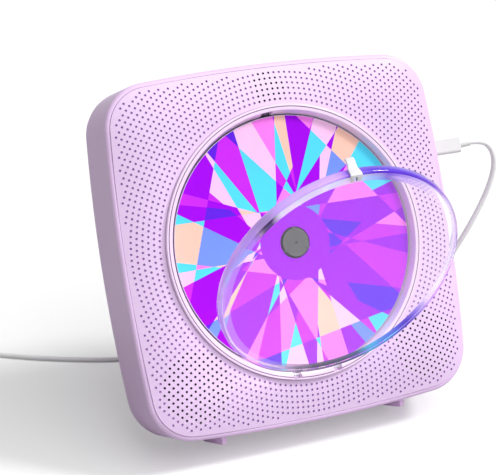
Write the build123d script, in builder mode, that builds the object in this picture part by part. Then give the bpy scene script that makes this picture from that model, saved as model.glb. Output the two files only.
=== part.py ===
"""Compact disc player for a wall or a table: square pillow-shaped case leaning back on two fins and a
fold-out stand, round hinged dust cover, open disc well, and the drive, loudspeakers and boards inside.

Units are millimetres, +Z is up and the table is at Z = 0. The case leans back, so its pieces are drawn on
planes parallel to its front face: `at(depth)` is the plane `depth` behind the face, with X to the right
and Y up the face.
"""
from build123d import *
from math import atan2, cos, degrees, hypot, pi, radians, sin, sqrt, tan
import os

os.makedirs("parts", exist_ok=True)

# ---------------------------------------------------------------- driving dimensions: case
DISC_R, DISC_BORE, DISC_T, DISC_TOP = 60.0, 7.5, 1.2, 2.0
LEAN = 22.7                # angle of the face from upright
HALF = DISC_R + 25.4       # half of the case's width and height, at the middle of a side
SIDE_R = 800.0             # bow of each side
CORNER_R = 22.0            # corners of the outline
CASE_D = 40.0              # front of the face to the back
PARTING = CASE_D - 6.0     # depth of the joint between front shell and rear cover
WALL = 2.2                 # side walls and back
BACK_ROUND = 5.8           # rounded edge of the rear cover
EDGE_ROUND = 2.1           # rounded edge outside the seam
FACE_T = 2.0               # front wall of the shell, behind the grille
LIP = 2.5                  # rear cover's tongue inside the front shell

CROWN_START = HALF - 26.0  # half size of the flat middle of the face
CROWN_RUN = 20.0           # the face falls away over this run beyond it
CROWN_FALL = (3.315, -0.432)   # fall over one run: square and cube terms
CONTOURS = (HALF + 1.6, HALF - 5.4, HALF - 12.4, HALF - 18.9, CROWN_START)
CONTOUR_CORNER = 0.24      # corner radius of a contour, as a share of its half size

SEAM_INSET = 2.15          # seam between the rim and the grille panel
SEAM_GAP = 0.3
PANEL_T = 1.2
PANEL_FLANGE = 3.6         # flat border that the panel stands on
PANEL_AIR = 0.3            # space between panel and shell

HOLE_D = 1.15              # perforation
HOLE_RING = DISC_R + 7.5   # first ring of holes
HOLE_PITCH = 2.59          # from ring to ring
HOLE_ARC = 2.69            # along a ring
SPEAKER_X, SPEAKER_U = HALF - 25.9, 26.9 - HALF
SPEAKER_CLUSTER = 16.6     # radius of the open holes before a loudspeaker
WINDOW_X, WINDOW_U = -1.3, HALF - 12.3
WINDOW_CLUSTER = 8.6       # radius of the open holes before the display

# ---------------------------------------------------------------- driving dimensions: ring, well and lid
RING_R = DISC_R + 4.85     # outside of the trim ring
RING_PROUD = 1.7           # ring's front, above the face
RING_LAND = DISC_R + 1.9   # inner edge of the ring's front
RING_THROAT = DISC_R + 0.5 # narrowest, beside the disc
THROAT_D = 2.3
RING_GAP = 0.15            # panel's hole is this much larger
OPENING_R = DISC_R + 2.1   # hole in the shell's front wall
OPENING_GAP = 0.2

WELL_R = DISC_R + 1.0      # inside of the disc well
WELL_WALL = 1.4
WELL_FLANGE = DISC_R + 4.2
WELL_TOP = 4.0
WELL_FLOOR = 6.5
WELL_T = 1.8
WELL_HUB_R = 16.6          # hole for the turntable
SLOT_HALF = 6.4            # laser's slot in the floor
SLOT_END = DISC_R + 0.6
EAR_AT, EAR_ANGLE = DISC_R + 12.0, 12.0
EAR_R, EAR_T = 4.0, 1.6

LID_R = DISC_R - 1.8
LID_WALL = 1.5
LID_FACE_T = 1.5
LID_SKIRT_D = 0.8          # depth of the skirt's edge when the lid is shut
LID_FRONT = 3.7            # lid's front above the face when shut
LID_ROUND = 1.2
LID_PIVOT_U, LID_PIVOT_D = -DISC_R - 1.2, 0.3
LID_OPEN = 41.8            # stored open, this far from shut
LUG_X, LUG_W, LUG_R = 10.5, 3.4, 1.6
LID_PIN_R, LID_PIN_L = 0.7, 7.2
LUG_BORE_CLEAR = 0.05
NOTCH_CLEAR = 0.35
CLIP_W, CLIP_T = 4.3, 1.1
CLIP_TAIL = 3.4            # how far the clip reaches past the skirt
CLIP_TURN = 4.5            # clip stands this far left of the lid's top
CLIP_OVER = 3.0            # how far it laps over the lid's face
CLIP_FLARE = 2.15          # tail steps out past the disc's edge
CLIP_STEP_D = 1.8          # depth where the step ends, above the disc
CLIP_AIR = 0.05
CATCH_CLEAR = 1.4          # catch is this much wider than the clip

# ---------------------------------------------------------------- driving dimensions: disc and drive
TABLE_R, TABLE_T = 15.5, 1.6
TABLE_BOSS_R, TABLE_BOSS_END = 4.0, 11.4
HUB_R, HUB_TOP, HUB_DOT_R = 6.75, 0.9, 0.6
HUB_DOT_D = 0.8
BALL_R, BALL_D, BALL_CLEAR = 1.2, 1.85, 0.05
SHAFT_R, SHAFT_TOP, SHAFT_END = 1.0, 4.0, 19.5
BORE_CLEAR = 0.05          # running clearance, all small bores

PLATE_D, PLATE_T = 11.0, 1.2   # mechanism chassis
PLATE_HALF, PLATE_LOW, PLATE_HIGH = 26.5, -22.0, 74.0
ARM_X, ARM_LOW, ARM_HIGH = 42.0, 24.0, 50.0
WINDOW_HALF, WINDOW_LOW, WINDOW_HIGH = 17.6, 13.2, 69.5
DAMPER_X, DAMPER_U = 22.0, (-16.5, 52.5)
DAMPER_R, DAMPER_NECK, DAMPER_BORE, DAMPER_LIP = 4.0, 2.8, 1.6, 1.0
POST_PIN_R = 1.5
SPINDLE_R, SPINDLE_END = 12.0, 21.0

ROD_X, ROD_R, ROD_D = 14.0, 1.5, 15.0
ROD_LUG_W, ROD_LUG_T, ROD_LUG_END = 5.0, 2.5, 17.6
SLED_HALF_X, SLED_HALF_U, SLED_TOP, SLED_END = 17.0, 8.0, 11.6, 18.4
LENS_REST_U, LENS_TRAVEL = 24.0, 33.0
LENS_R, LENS_TOP = 3.0, 4.9
LENS_NECK = 3.9            # barrel above the lens holder, so the holder clears the well's floor
LENS_GAP = 0.45            # lens holder floats this far above the sled
LENS_BLOCK = 4.2

RACK_D, RACK_T, RACK_BACK = 15.2, 2.0, 1.8
RACK_MODULE, RACK_PINION_TEETH = 0.8, 14
WHEEL_MODULE, WHEEL_TEETH, PINION_TEETH = 0.6, 30, 10
ADDENDUM, DEDENDUM = 0.8, 1.05     # in modules
RACK_TEETH = 15
GEAR_U = 41.0
WHEEL_D, WHEEL_T = 18.8, 1.4
GEAR_AXLE_R = 1.1
SLED_MOTOR_R, SLED_MOTOR_END = 5.0, 17.4
SLED_MOTOR_DIRECTION = -35.0
MOTOR_SHAFT_R = 0.8

# ---------------------------------------------------------------- driving dimensions: sound and electronics
POD_R, POD_WALL, POD_END = 16.8, 1.6, 9.0
CLOTH_T = 0.3
CONE_R, CONE_DEPTH, CONE_T, DUST_CAP_R = 14.6, 5.2, 0.5, 5.5
FRAME_FLANGE_T, BASKET_R, BASKET_END, BASKET_T = 1.5, 10.5, 18.0, 1.0
MAGNET_R, MAGNET_END = 10.0, 23.6

BOARD_D, BOARD_T = 24.2, 1.6
BOARD_HALF, BOARD_LOW, BOARD_HIGH = HALF - 7.4, -36.0, HALF - 25.4
BOARD_POST_X, BOARD_POST_U, BOARD_POST_R = HALF - 17.4, (-30.0, HALF - 31.4), 3.0
CHIP, CHIP_T = 14.0, 1.4
CAPACITOR_R, CAPACITOR_H = 3.2, 6.0
CAPACITORS = ((-52, 30), (-44, 30), (-52, 20), (46, -22), (54, -22))

DISPLAY_W, DISPLAY_H, DISPLAY_D, DISPLAY_T = 22.0, 14.0, 6.8, 3.0
IR_SIZE = 6.0

BUTTON_D = 18.0            # depth of the buttons' axes behind the face
POWER_X, POWER_R = -31.5, 3.3
PLAY_X, PLAY_W, PLAY_H = -19.5, 10.0, 6.0
BUTTON_PROUD, BUTTON_TRAVEL, BUTTON_CLEAR = 0.5, 0.8, 0.2
BUTTON_FLANGE, BUTTON_FLANGE_T, BUTTON_STOP = 1.2, 1.0, 0.3
STEM_R, STEM_END = 1.8, HALF - 5.9
SWITCH, SWITCH_H, SWITCH_TIP_R, SWITCH_TIP_H, SWITCH_GAP = 6.0, 3.0, 1.5, 0.5, 0.9
KEY_BOARD_T, KEY_BOARD_LEFT, KEY_BOARD_RIGHT = 1.2, -41.2, -7.8
KEY_BOARD_FRONT, KEY_BOARD_BACK = 13.4, 22.6
RIB_T, RIB_BITE = 3.0, 0.8

SCREW_R, PILOT_CLEAR, SCREW_HEAD_R, SCREW_HEAD_T = 1.0, 0.05, 2.0, 1.3
SCREW_CLEAR = 0.25
CASE_POSTS = ((15.4 - HALF, HALF - 15.4), (HALF - 15.4, HALF - 15.4), (-36, 8.4 - HALF), (36, 8.4 - HALF))
CASE_POST_R, CASE_SCREW_R, CASE_HEAD_R, CASE_HEAD_T = 3.2, 1.2, 2.4, 1.6
CASE_SEAT, CASE_SCREW_TIP = CASE_D - 3.6, CASE_D - 14.0

# ---------------------------------------------------------------- driving dimensions: supports, wall hanger
FIN_X, FIN_W, FIN_FRONT, FIN_BACK, FIN_LOW = 47.0, 2.2, 11.0, CASE_D - 2.5, -HALF - 2.8
FIN_SOLE = 0.54            # taken off the fins' back corners, where they stand
FIN_ROUND = 1.6
FIN_AIR = 0.05

STAND_U, STAND_D = 20.0, CASE_D - 2.4   # stand's pin
STAND_HALF, STAND_T = 22.6, 3.6
STAND_OPEN = 30.0
STAND_HEEL = 1.62          # stops the stand against the recess when it is open
STAND_PIN_R = 1.2
STAND_CLEAR = 0.4
PAD_L, PAD_TONGUE, PAD_BITE = 6.0, 1.6, 3.5
POCKET_FLOOR = CASE_D - 4.8     # floor of the stand's recess
POCKET_T = 1.8
KEYHOLE_X, KEYHOLE_U, KEYHOLE_R, KEYHOLE_SLOT = 40.0, 45.0, 4.5, 2.25
KEYHOLE_RISE = 9.0

# ---------------------------------------------------------------- driving dimensions: sockets and lead
PORT_U, PORT_D = 35.1, 22.0
PORT_W, PORT_T, PORT_WALL = 8.6, 2.8, 0.45
PORT_IN, PORT_OUT = HALF - 10.8, HALF - 3.4
PLUG_SHELL_W, PLUG_SHELL_T, PLUG_SHELL_IN = 8.2, 2.4, PORT_IN + 3.4
PLUG_W, PLUG_T, PLUG_FROM, PLUG_TO = 8.8, 6.0, HALF - 0.5, HALF + 21.6
PLUG_ROUND = 1.4
RELIEF_TO, RELIEF_R, RELIEF_TIP_R = PLUG_TO + 6.5, 2.4, 1.75
CORD_R = 1.35
AUX_U, AUX_BORE_R, AUX_BARREL_R, AUX_L = 14.0, 1.8, 3.0, 14.0
AUX_BODY_W, AUX_BODY_T = 7.0, 5.0

COIL_TURNS_R, COIL_LAYERS = (13.65, 16.35), 3   # turns side by side, and layers
COIL_OUT_ANGLE = 108.0     # where the lead leaves the coil, seen from above
FAR_PLUG_L, FAR_PLUG_W, FAR_PLUG_T = 26.0, 16.0, 7.8
FAR_SHELL_L, FAR_SHELL_W, FAR_SHELL_T, FAR_SHELL_WALL = 12.0, 12.0, 4.5, 0.4
FAR_RELIEF_L = 9.0

# ---------------------------------------------------------------- places worked out from the dimensions
lean = radians(LEAN)
FLOOR_BELOW = -FIN_LOW * cos(lean) + FIN_BACK * sin(lean) - FIN_SOLE   # table below the face's middle
OUT = Vector(0, -cos(lean), sin(lean))         # straight out of the face
UP = Vector(0, sin(lean), cos(lean))           # up the face
RIGHT = Vector(1, 0, 0)


def along(x, u, depth):
    """Offset from the middle of the face, in the table's directions."""
    return RIGHT * x + UP * u - OUT * depth


def swing(u, depth, pivot_u, pivot_d, angle):
    """Turn a point of the side view about a pivot; a positive angle carries the top outwards."""
    turn = radians(angle)
    du, dd = u - pivot_u, depth - pivot_d
    return (pivot_u + du * cos(turn) + dd * sin(turn), pivot_d - du * sin(turn) + dd * cos(turn))


clip_tip = along(0, *swing(LID_R + CLIP_AIR + CLIP_T, -LID_FRONT - CLIP_AIR - CLIP_T,
                          LID_PIVOT_U, LID_PIVOT_D, LID_OPEN))
case_back = along(0, HALF - BACK_ROUND, CASE_D - BACK_ROUND)
FACE_Y = -(clip_tip.Y + case_back.Y + BACK_ROUND) / 2
FACE_Z = FLOOR_BELOW
CENTRE = Vector(0, FACE_Y, FACE_Z)
FACE = Plane(origin=CENTRE, x_dir=RIGHT, z_dir=OUT)
SPIN = Axis(CENTRE, OUT)

DISC_LOW = DISC_TOP + DISC_T
PANEL_SEAT = SEAM_INSET + PANEL_FLANGE
LUG_ROOM = LUG_R + NOTCH_CLEAR
GEAR_R = RACK_MODULE * RACK_PINION_TEETH / 2
WHEEL_R = WHEEL_MODULE * WHEEL_TEETH / 2
PINION_R = WHEEL_MODULE * PINION_TEETH / 2
RACK_LINE = SLED_HALF_X + RACK_BACK + RACK_MODULE * DEDENDUM
GEAR_X = RACK_LINE + GEAR_R
MOTOR_X = GEAR_X + (WHEEL_R + PINION_R) * cos(radians(SLED_MOTOR_DIRECTION))
MOTOR_U = GEAR_U + (WHEEL_R + PINION_R) * sin(radians(SLED_MOTOR_DIRECTION))
PLATE_END = PLATE_D + PLATE_T
DAMPER_TOP = PLATE_D - DAMPER_LIP
DAMPER_END = PLATE_END + DAMPER_LIP
BOARD_END = BOARD_D + BOARD_T
WELL_UNDER = WELL_FLOOR + WELL_T
EAR_TOP = WELL_UNDER
KEY_BOARD_U = STEM_END - SWITCH_GAP - SWITCH_TIP_H - SWITCH_H - KEY_BOARD_T
SPEAKERS = ((-SPEAKER_X, SPEAKER_U), (SPEAKER_X, SPEAKER_U))
BOARD_POSTS = [(side * BOARD_POST_X, u) for side in (-1, 1) for u in BOARD_POST_U]
EARS = [
    (EAR_AT * cos(radians(angle)), EAR_AT * sin(radians(angle)))
    for angle in (EAR_ANGLE, -EAR_ANGLE, 180 - EAR_ANGLE, 180 + EAR_ANGLE)
]
DAMPERS = [(side * DAMPER_X, u) for side in (-1, 1) for u in DAMPER_U]
STAND_PIN = CENTRE + along(0, STAND_U, STAND_D)
leg_pitch = radians(STAND_OPEN - LEAN)      # open leg's angle from upright
STAND_L = (STAND_PIN.Z + STAND_T / 2 * sin(leg_pitch)) / cos(leg_pitch)
catch_turn, catch_r = radians(CLIP_TURN), RING_THROAT + 1.4
catch_spot = (-catch_r * sin(catch_turn), catch_r * cos(catch_turn))
KEYHOLES = ((-KEYHOLE_X, KEYHOLE_U), (KEYHOLE_X, KEYHOLE_U))


# ---------------------------------------------------------------- shared shapes
def at(depth):
    """Plane parallel to the face, this far behind it."""
    return FACE.offset(-depth)


def side_view(x):
    """Upright plane across the case: local X up the face, local Y out of it."""
    return Plane(origin=CENTRE + RIGHT * x, x_dir=UP, z_dir=RIGHT)


def radial(x, u):
    """Plane through an axis that is square to the face: local X is the radius, local Y out of the face."""
    return Plane(origin=CENTRE + along(x, u, 0), x_dir=RIGHT, z_dir=-UP)


def from_top(u):
    """Plane square to the face at height u: local X to the right, local Y out of the face."""
    return Plane(origin=CENTRE + along(0, u, 0), x_dir=RIGHT, z_dir=-UP)


def from_side(x, u, depth):
    """Plane whose normal is +X: local X up the face, local Y out of it."""
    return Plane(origin=CENTRE + along(x, u, depth), x_dir=UP, z_dir=RIGHT)


def side_at(across):
    """Half size of the outline at this distance from the middle of a side."""
    return HALF - SIDE_R + sqrt(SIDE_R**2 - across**2)


def crown(half):
    """Fall of the face at a contour of this half size."""
    run = max(0.0, half - CROWN_START) / CROWN_RUN
    return CROWN_FALL[0] * run**2 + CROWN_FALL[1] * run**3


def bowed_square(half, corner):
    """Face with four bowed sides and four rounded corners."""
    bow = SIDE_R - (HALF - half)
    shift = bow - half                      # a side's centre lies this far beyond the middle
    mid = (-2 * shift + sqrt(4 * shift**2 - 8 * (shift**2 - (bow - corner) ** 2))) / 4
    reach = degrees(atan2(mid, mid + shift))
    with BuildSketch(Plane.XY) as sketch:
        with BuildLine():
            for quarter in range(4):
                turn = Rot(0, 0, 90 * quarter)
                add(turn * CenterArc((-shift, 0), bow, -reach, 2 * reach, mode=Mode.PRIVATE))
                add(turn * CenterArc((mid, mid), corner, reach, 90 - 2 * reach, mode=Mode.PRIVATE))
        make_face()
    return sketch.sketch


def outline(inset):
    """The case's outline drawn in by an inset."""
    return bowed_square(HALF - inset, CORNER_R - inset)


def prism(face, depth, length, mode=Mode.ADD):
    """Extrude a face drawn in plan from a depth behind the front."""
    with BuildSketch(at(depth)) as profile:
        add(face)
    extrude(profile.sketch, amount=-length, mode=mode)


def bars(radius, depth, length, spots=((0, 0),), mode=Mode.ADD):
    """Round bars or holes square to the face."""
    with BuildSketch(at(depth)) as profile:
        with Locations(*spots):
            Circle(radius)
    extrude(profile.sketch, amount=-length, mode=mode)


def blocks(width, height, depth, length, spots=((0, 0),), mode=Mode.ADD):
    """Square blocks or cuts square to the face."""
    with BuildSketch(at(depth)) as profile:
        with Locations(*spots):
            Rectangle(width, height)
    extrude(profile.sketch, amount=-length, mode=mode)


def turned(points, x=0.0, u=0.0, mode=Mode.ADD):
    """Turn a closed outline of (radius, depth) points about an axis square to the face."""
    with BuildSketch(radial(x, u)) as profile:
        with BuildLine():
            Polyline(*[(radius, -depth) for radius, depth in points], close=True)
        make_face()
    revolve(profile.sketch, axis=Axis(CENTRE + along(x, u, 0), OUT), mode=mode)


def pillow(sink, inset, bottom):
    """Solid under the crowned face sunk by `sink`, cut to the outline drawn in by `inset`."""
    rim = crown(CONTOURS[0]) + sink
    with BuildPart() as solid:
        for half in CONTOURS:
            with BuildSketch(at(crown(half) + sink)):
                add(bowed_square(half, CONTOUR_CORNER * half))
        loft(ruled=True)
        with BuildSketch(at(rim)):
            add(bowed_square(CONTOURS[0], CONTOUR_CORNER * CONTOURS[0]))
        extrude(amount=rim - bottom)
        prism(outline(inset), sink - 1, bottom - sink + 2, Mode.INTERSECT)
    return solid.part


def screws(radius, head_radius, head_d, head_t, tip_d, spots):
    """Pan-head screws driven from behind: shank towards the face, head behind it."""
    bars(radius, tip_d, head_d - tip_d, spots)
    bars(head_radius, head_d, head_t, spots)
    bars(head_radius / 2, head_d + head_t - head_t / 3, head_t / 3 + 1, spots, Mode.SUBTRACT)


def finish(part, name):
    """Name a finished piece and write it."""
    part.label = name
    export_step(part, f"parts/{name}.step")


def under_table(mode=Mode.SUBTRACT):
    """Cut away what lies under the table."""
    with BuildSketch(Plane.XY) as table:
        Rectangle(4 * HALF, 4 * HALF)
    extrude(table.sketch, amount=-HALF, mode=mode)


def in_cluster(x, u):
    """True for a hole that opens onto a loudspeaker or the display."""
    for spot_x, spot_u in SPEAKERS:
        if hypot(x - spot_x, u - spot_u) < SPEAKER_CLUSTER - HOLE_D / 2:
            return True
    return hypot(x - WINDOW_X, u - WINDOW_U) < WINDOW_CLUSTER - HOLE_D / 2


def open_holes():
    """Centres of the perforations that go right through, on rings round the disc well."""
    spots = []
    ring = HOLE_RING
    while ring < sqrt(2) * HALF:
        count = round(2 * pi * ring / HOLE_ARC)
        for step in range(count):
            angle = 2 * pi * step / count
            x, u = ring * cos(angle), ring * sin(angle)
            if in_cluster(x, u):
                spots.append((x, u))
        ring += HOLE_PITCH
    return spots


def lug_notches():
    """Cut room for the lid's two lugs, open towards the disc and the front."""
    with BuildSketch(side_view(0)) as notch:
        with Locations((LID_PIVOT_U, -LID_PIVOT_D)):
            Circle(LUG_ROOM)
        with Locations((LID_PIVOT_U + RING_THROAT / 4, -LID_PIVOT_D)):
            Rectangle(RING_THROAT / 2, 2 * LUG_ROOM)
        with Locations((LID_PIVOT_U + LUG_ROOM / 2, -LID_PIVOT_D + LUG_ROOM)):
            Rectangle(3 * LUG_ROOM, 2 * LUG_ROOM)
    for side in (-1, 1):
        face = Pos(side * LUG_X, 0, 0) * notch.sketch
        extrude(face, amount=LUG_W / 2 + NOTCH_CLEAR, both=True, mode=Mode.SUBTRACT)


# ---------------------------------------------------------------- case: front shell
panel_foot = crown(HALF - SEAM_INSET) + PANEL_T
rim_d = crown(HALF - SEAM_INSET)
skin_d = PANEL_T + PANEL_AIR
with BuildPart() as shell_posts:
    # posts for the rear cover, the main board and the disc well, rings round the loudspeakers, display seat
    bars(CASE_POST_R, skin_d, PARTING - skin_d, CASE_POSTS)
    bars(BOARD_POST_R, skin_d, BOARD_D - skin_d, BOARD_POSTS)
    bars(EAR_R - 1, skin_d, EAR_TOP - skin_d, EARS)
    bars(POD_R + POD_WALL, skin_d, POD_END - skin_d, SPEAKERS)
    blocks(DISPLAY_W, DISPLAY_H, skin_d, DISPLAY_D - skin_d, [(WINDOW_X, WINDOW_U)])
    add(pillow(skin_d + FACE_T / 2, WALL / 2, PARTING + 1), mode=Mode.INTERSECT)
    for rib_x in (KEY_BOARD_LEFT - RIB_T / 2 + RIB_BITE, KEY_BOARD_RIGHT + RIB_T / 2 - RIB_BITE):
        rib_top = side_at(rib_x) - WALL / 2
        rib_low = KEY_BOARD_U - 1
        blocks(RIB_T, rib_top - rib_low, PLATE_END + 1, KEY_BOARD_BACK - PLATE_END,
               [(rib_x, (rib_top + rib_low) / 2)])
    blocks(KEY_BOARD_RIGHT - KEY_BOARD_LEFT, KEY_BOARD_T, KEY_BOARD_FRONT, KEY_BOARD_BACK - KEY_BOARD_FRONT,
           [((KEY_BOARD_LEFT + KEY_BOARD_RIGHT) / 2, KEY_BOARD_U + KEY_BOARD_T / 2)], Mode.SUBTRACT)

with BuildPart() as front_shell:
    prism(outline(0), rim_d, PARTING - rim_d)
    rim_edges = front_shell.edges().group_by(Axis(CENTRE, OUT))[-1]
    fillet(rim_edges, EDGE_ROUND)
    prism(outline(SEAM_INSET), rim_d - 1, panel_foot - rim_d + 1, Mode.SUBTRACT)
    add(pillow(skin_d, PANEL_SEAT + PANEL_AIR, panel_foot + FACE_T))
    add(pillow(skin_d + FACE_T, WALL, PARTING + 1), mode=Mode.SUBTRACT)
    add(shell_posts.part)
    bars(CASE_SCREW_R + PILOT_CLEAR, CASE_SCREW_TIP - 1, PARTING, CASE_POSTS, Mode.SUBTRACT)
    bars(SCREW_R + PILOT_CLEAR, BOARD_D - 8, 9, BOARD_POSTS, Mode.SUBTRACT)
    bars(SCREW_R + PILOT_CLEAR, EAR_TOP - 3.4, 4, EARS, Mode.SUBTRACT)
    # openings: disc and lid lugs, loudspeakers, display window, buttons, power port and audio socket
    lug_notches()
    bars(OPENING_R, -1, 10, mode=Mode.SUBTRACT)
    bars(POD_R, -1, POD_END + 2, SPEAKERS, Mode.SUBTRACT)
    bars(WINDOW_CLUSTER, -1, 12, [(WINDOW_X, WINDOW_U)], Mode.SUBTRACT)
    with BuildSketch(from_top(KEY_BOARD_U + 5)) as button_holes:
        with Locations((POWER_X, -BUTTON_D)):
            Circle(POWER_R + BUTTON_CLEAR)
        with Locations((PLAY_X, -BUTTON_D)):
            RectangleRounded(PLAY_W + 2 * BUTTON_CLEAR, PLAY_H + 2 * BUTTON_CLEAR,
                             PLAY_H / 2.2 + BUTTON_CLEAR)
    extrude(button_holes.sketch, amount=-20, mode=Mode.SUBTRACT)
    with BuildSketch(from_side(BOARD_HALF + 2, PORT_U, PORT_D)) as port_hole:
        RectangleRounded(PORT_W + 2 * PORT_WALL + 0.6, PORT_T + 2 * PORT_WALL + 0.6, 1.8)
    extrude(port_hole.sketch, amount=10, mode=Mode.SUBTRACT)
    with BuildSketch(from_side(BOARD_HALF + 2, AUX_U, PORT_D)) as audio_hole:
        Circle(AUX_BARREL_R + BORE_CLEAR)
    extrude(audio_hole.sketch, amount=10, mode=Mode.SUBTRACT)
finish(front_shell.part, "front_shell")

# ---------------------------------------------------------------- case: perforated front
with BuildPart() as grille_panel:
    add(pillow(0, SEAM_INSET + SEAM_GAP, panel_foot))
    add(pillow(PANEL_T, PANEL_SEAT, panel_foot + 1), mode=Mode.SUBTRACT)
    bars(RING_R + RING_GAP, -1, panel_foot + 2, mode=Mode.SUBTRACT)
    bars(HOLE_D / 2, -1, panel_foot + 2, open_holes(), Mode.SUBTRACT)
finish(grille_panel.part, "grille_panel")

# ---------------------------------------------------------------- case: rear cover
pocket_top = STAND_U + STAND_T / 2 + 1.4
pocket_low = STAND_U - STAND_L - STAND_CLEAR
pocket_mid, pocket_tall = (pocket_top + pocket_low) / 2, pocket_top - pocket_low
pocket_wide = 2 * (STAND_HALF + STAND_CLEAR)
with BuildPart() as rear_cover:
    prism(outline(0), PARTING, CASE_D - PARTING)
    back_edges = rear_cover.edges().group_by(Axis(CENTRE, OUT))[0]
    fillet(back_edges, BACK_ROUND)
    prism(outline(WALL + 0.1), PARTING - LIP, LIP)
    prism(outline(WALL + 1.5), PARTING - LIP, CASE_D - WALL - PARTING + LIP, Mode.SUBTRACT)
    bars(CASE_POST_R + 1.2, PARTING, CASE_D - WALL - PARTING, CASE_POSTS)
    blocks(pocket_wide + 2 * WALL, pocket_tall + 2 * WALL, POCKET_FLOOR - POCKET_T,
           CASE_D - WALL - POCKET_FLOOR + POCKET_T, [(0, pocket_mid)])
    blocks(pocket_wide, pocket_tall, POCKET_FLOOR, CASE_D, [(0, pocket_mid)], Mode.SUBTRACT)
    with BuildSketch(from_side(0, STAND_U, STAND_D)) as pin_hole:
        Circle(STAND_PIN_R + BORE_CLEAR / 2)
    extrude(pin_hole.sketch, amount=pocket_wide / 2 + WALL - 0.6, both=True, mode=Mode.SUBTRACT)
    bars(CASE_SCREW_R + SCREW_CLEAR, PARTING - 1, CASE_D, CASE_POSTS, Mode.SUBTRACT)
    bars(CASE_HEAD_R + SCREW_CLEAR, CASE_SEAT, CASE_D, CASE_POSTS, Mode.SUBTRACT)
    bars(KEYHOLE_R, PARTING, CASE_D, KEYHOLES, Mode.SUBTRACT)
    for keyhole_x, keyhole_u in KEYHOLES:
        with BuildSketch(at(PARTING)) as slot:
            with Locations((keyhole_x, keyhole_u + KEYHOLE_RISE / 2)):
                Rectangle(2 * KEYHOLE_SLOT, KEYHOLE_RISE)
            with Locations((keyhole_x, keyhole_u + KEYHOLE_RISE)):
                Circle(KEYHOLE_SLOT)
        extrude(slot.sketch, amount=-CASE_D, mode=Mode.SUBTRACT)
finish(rear_cover.part, "rear_cover")

with BuildPart() as case_screws:
    screws(CASE_SCREW_R, CASE_HEAD_R, CASE_SEAT, CASE_HEAD_T, CASE_SCREW_TIP, CASE_POSTS)
finish(case_screws.part, "case_screws")

# ---------------------------------------------------------------- supports
with BuildPart() as foot_fins:
    for side in (-1, 1):
        with BuildSketch(side_view(side * FIN_X)) as fin:
            with BuildLine():
                Polyline((-HALF + 4, -FIN_FRONT), (FIN_LOW, -FIN_FRONT), (FIN_LOW, -FIN_BACK),
                         (-HALF + 4, -FIN_BACK), close=True)
            make_face()
            fillet(fin.vertices().sort_by(Axis.Y)[-2:].sort_by(Axis.X)[:1], FIN_ROUND)
        extrude(fin.sketch, amount=FIN_W / 2, both=True)
    prism(outline(-FIN_AIR), -2, CASE_D + 4, Mode.SUBTRACT)
    under_table()
finish(foot_fins.part, "foot_fins")

LEG = Plane(origin=STAND_PIN, x_dir=Vector(0, -sin(leg_pitch), cos(leg_pitch)), z_dir=RIGHT)


with BuildPart() as stand_leg:
    with BuildSketch(LEG) as leg_side:
        with Locations(((STAND_HEEL - STAND_L + PAD_L) / 2, 0)):
            Rectangle(STAND_L - PAD_L + STAND_HEEL, STAND_T)
        with Locations((-STAND_L + PAD_L - PAD_BITE / 2, 0)):
            Rectangle(PAD_BITE, PAD_TONGUE)
        with Locations((0, 0)):
            Circle(STAND_PIN_R + BORE_CLEAR, mode=Mode.SUBTRACT)
    extrude(leg_side.sketch, amount=STAND_HALF, both=True)
finish(stand_leg.part, "stand_leg")

with BuildPart() as stand_foot_pad:
    with BuildSketch(LEG) as pad_side:
        with Locations((-STAND_L + PAD_L / 2, 0)):
            Rectangle(PAD_L, STAND_T)
        with Locations((-STAND_L + PAD_L - PAD_BITE / 2, 0)):
            Rectangle(PAD_BITE, PAD_TONGUE, mode=Mode.SUBTRACT)
    extrude(pad_side.sketch, amount=STAND_HALF, both=True)
    under_table()
finish(stand_foot_pad.part, "stand_foot_pad")

with BuildPart() as stand_hinge_pin:
    with BuildSketch(from_side(0, STAND_U, STAND_D)):
        Circle(STAND_PIN_R)
    extrude(amount=pocket_wide / 2 + WALL - 0.8, both=True)
finish(stand_hinge_pin.part, "stand_hinge_pin")

# ---------------------------------------------------------------- trim ring and disc well
with BuildPart() as well_ring:
    turned([
        (RING_THROAT, THROAT_D), (RING_LAND, -RING_PROUD), (RING_R - 0.5, -RING_PROUD),
        (RING_R, -RING_PROUD + 0.5), (RING_R, skin_d), (OPENING_R - OPENING_GAP, skin_d),
        (OPENING_R - OPENING_GAP, WELL_TOP - 0.2), (RING_THROAT, WELL_TOP - 0.2),
    ])
    lug_notches()
    for side in (-1, 1):
        with BuildSketch(from_side(side * LUG_X, LID_PIVOT_U, LID_PIVOT_D)) as pin_seat:
            Circle(LID_PIN_R)
        extrude(pin_seat.sketch, amount=LID_PIN_L / 2, both=True, mode=Mode.SUBTRACT)
    # catch for the lid's clip
    blocks(CLIP_W + CATCH_CLEAR, 4.4, -RING_PROUD - 1, RING_PROUD + 1 + WELL_TOP, [catch_spot], Mode.SUBTRACT)
finish(well_ring.part, "well_ring")

with BuildPart() as lid_hinge_pins:
    for side in (-1, 1):
        with BuildSketch(from_side(side * LUG_X, LID_PIVOT_U, LID_PIVOT_D)) as pin_end:
            Circle(LID_PIN_R)
        extrude(pin_end.sketch, amount=LID_PIN_L / 2, both=True)
finish(lid_hinge_pins.part, "lid_hinge_pins")

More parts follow.
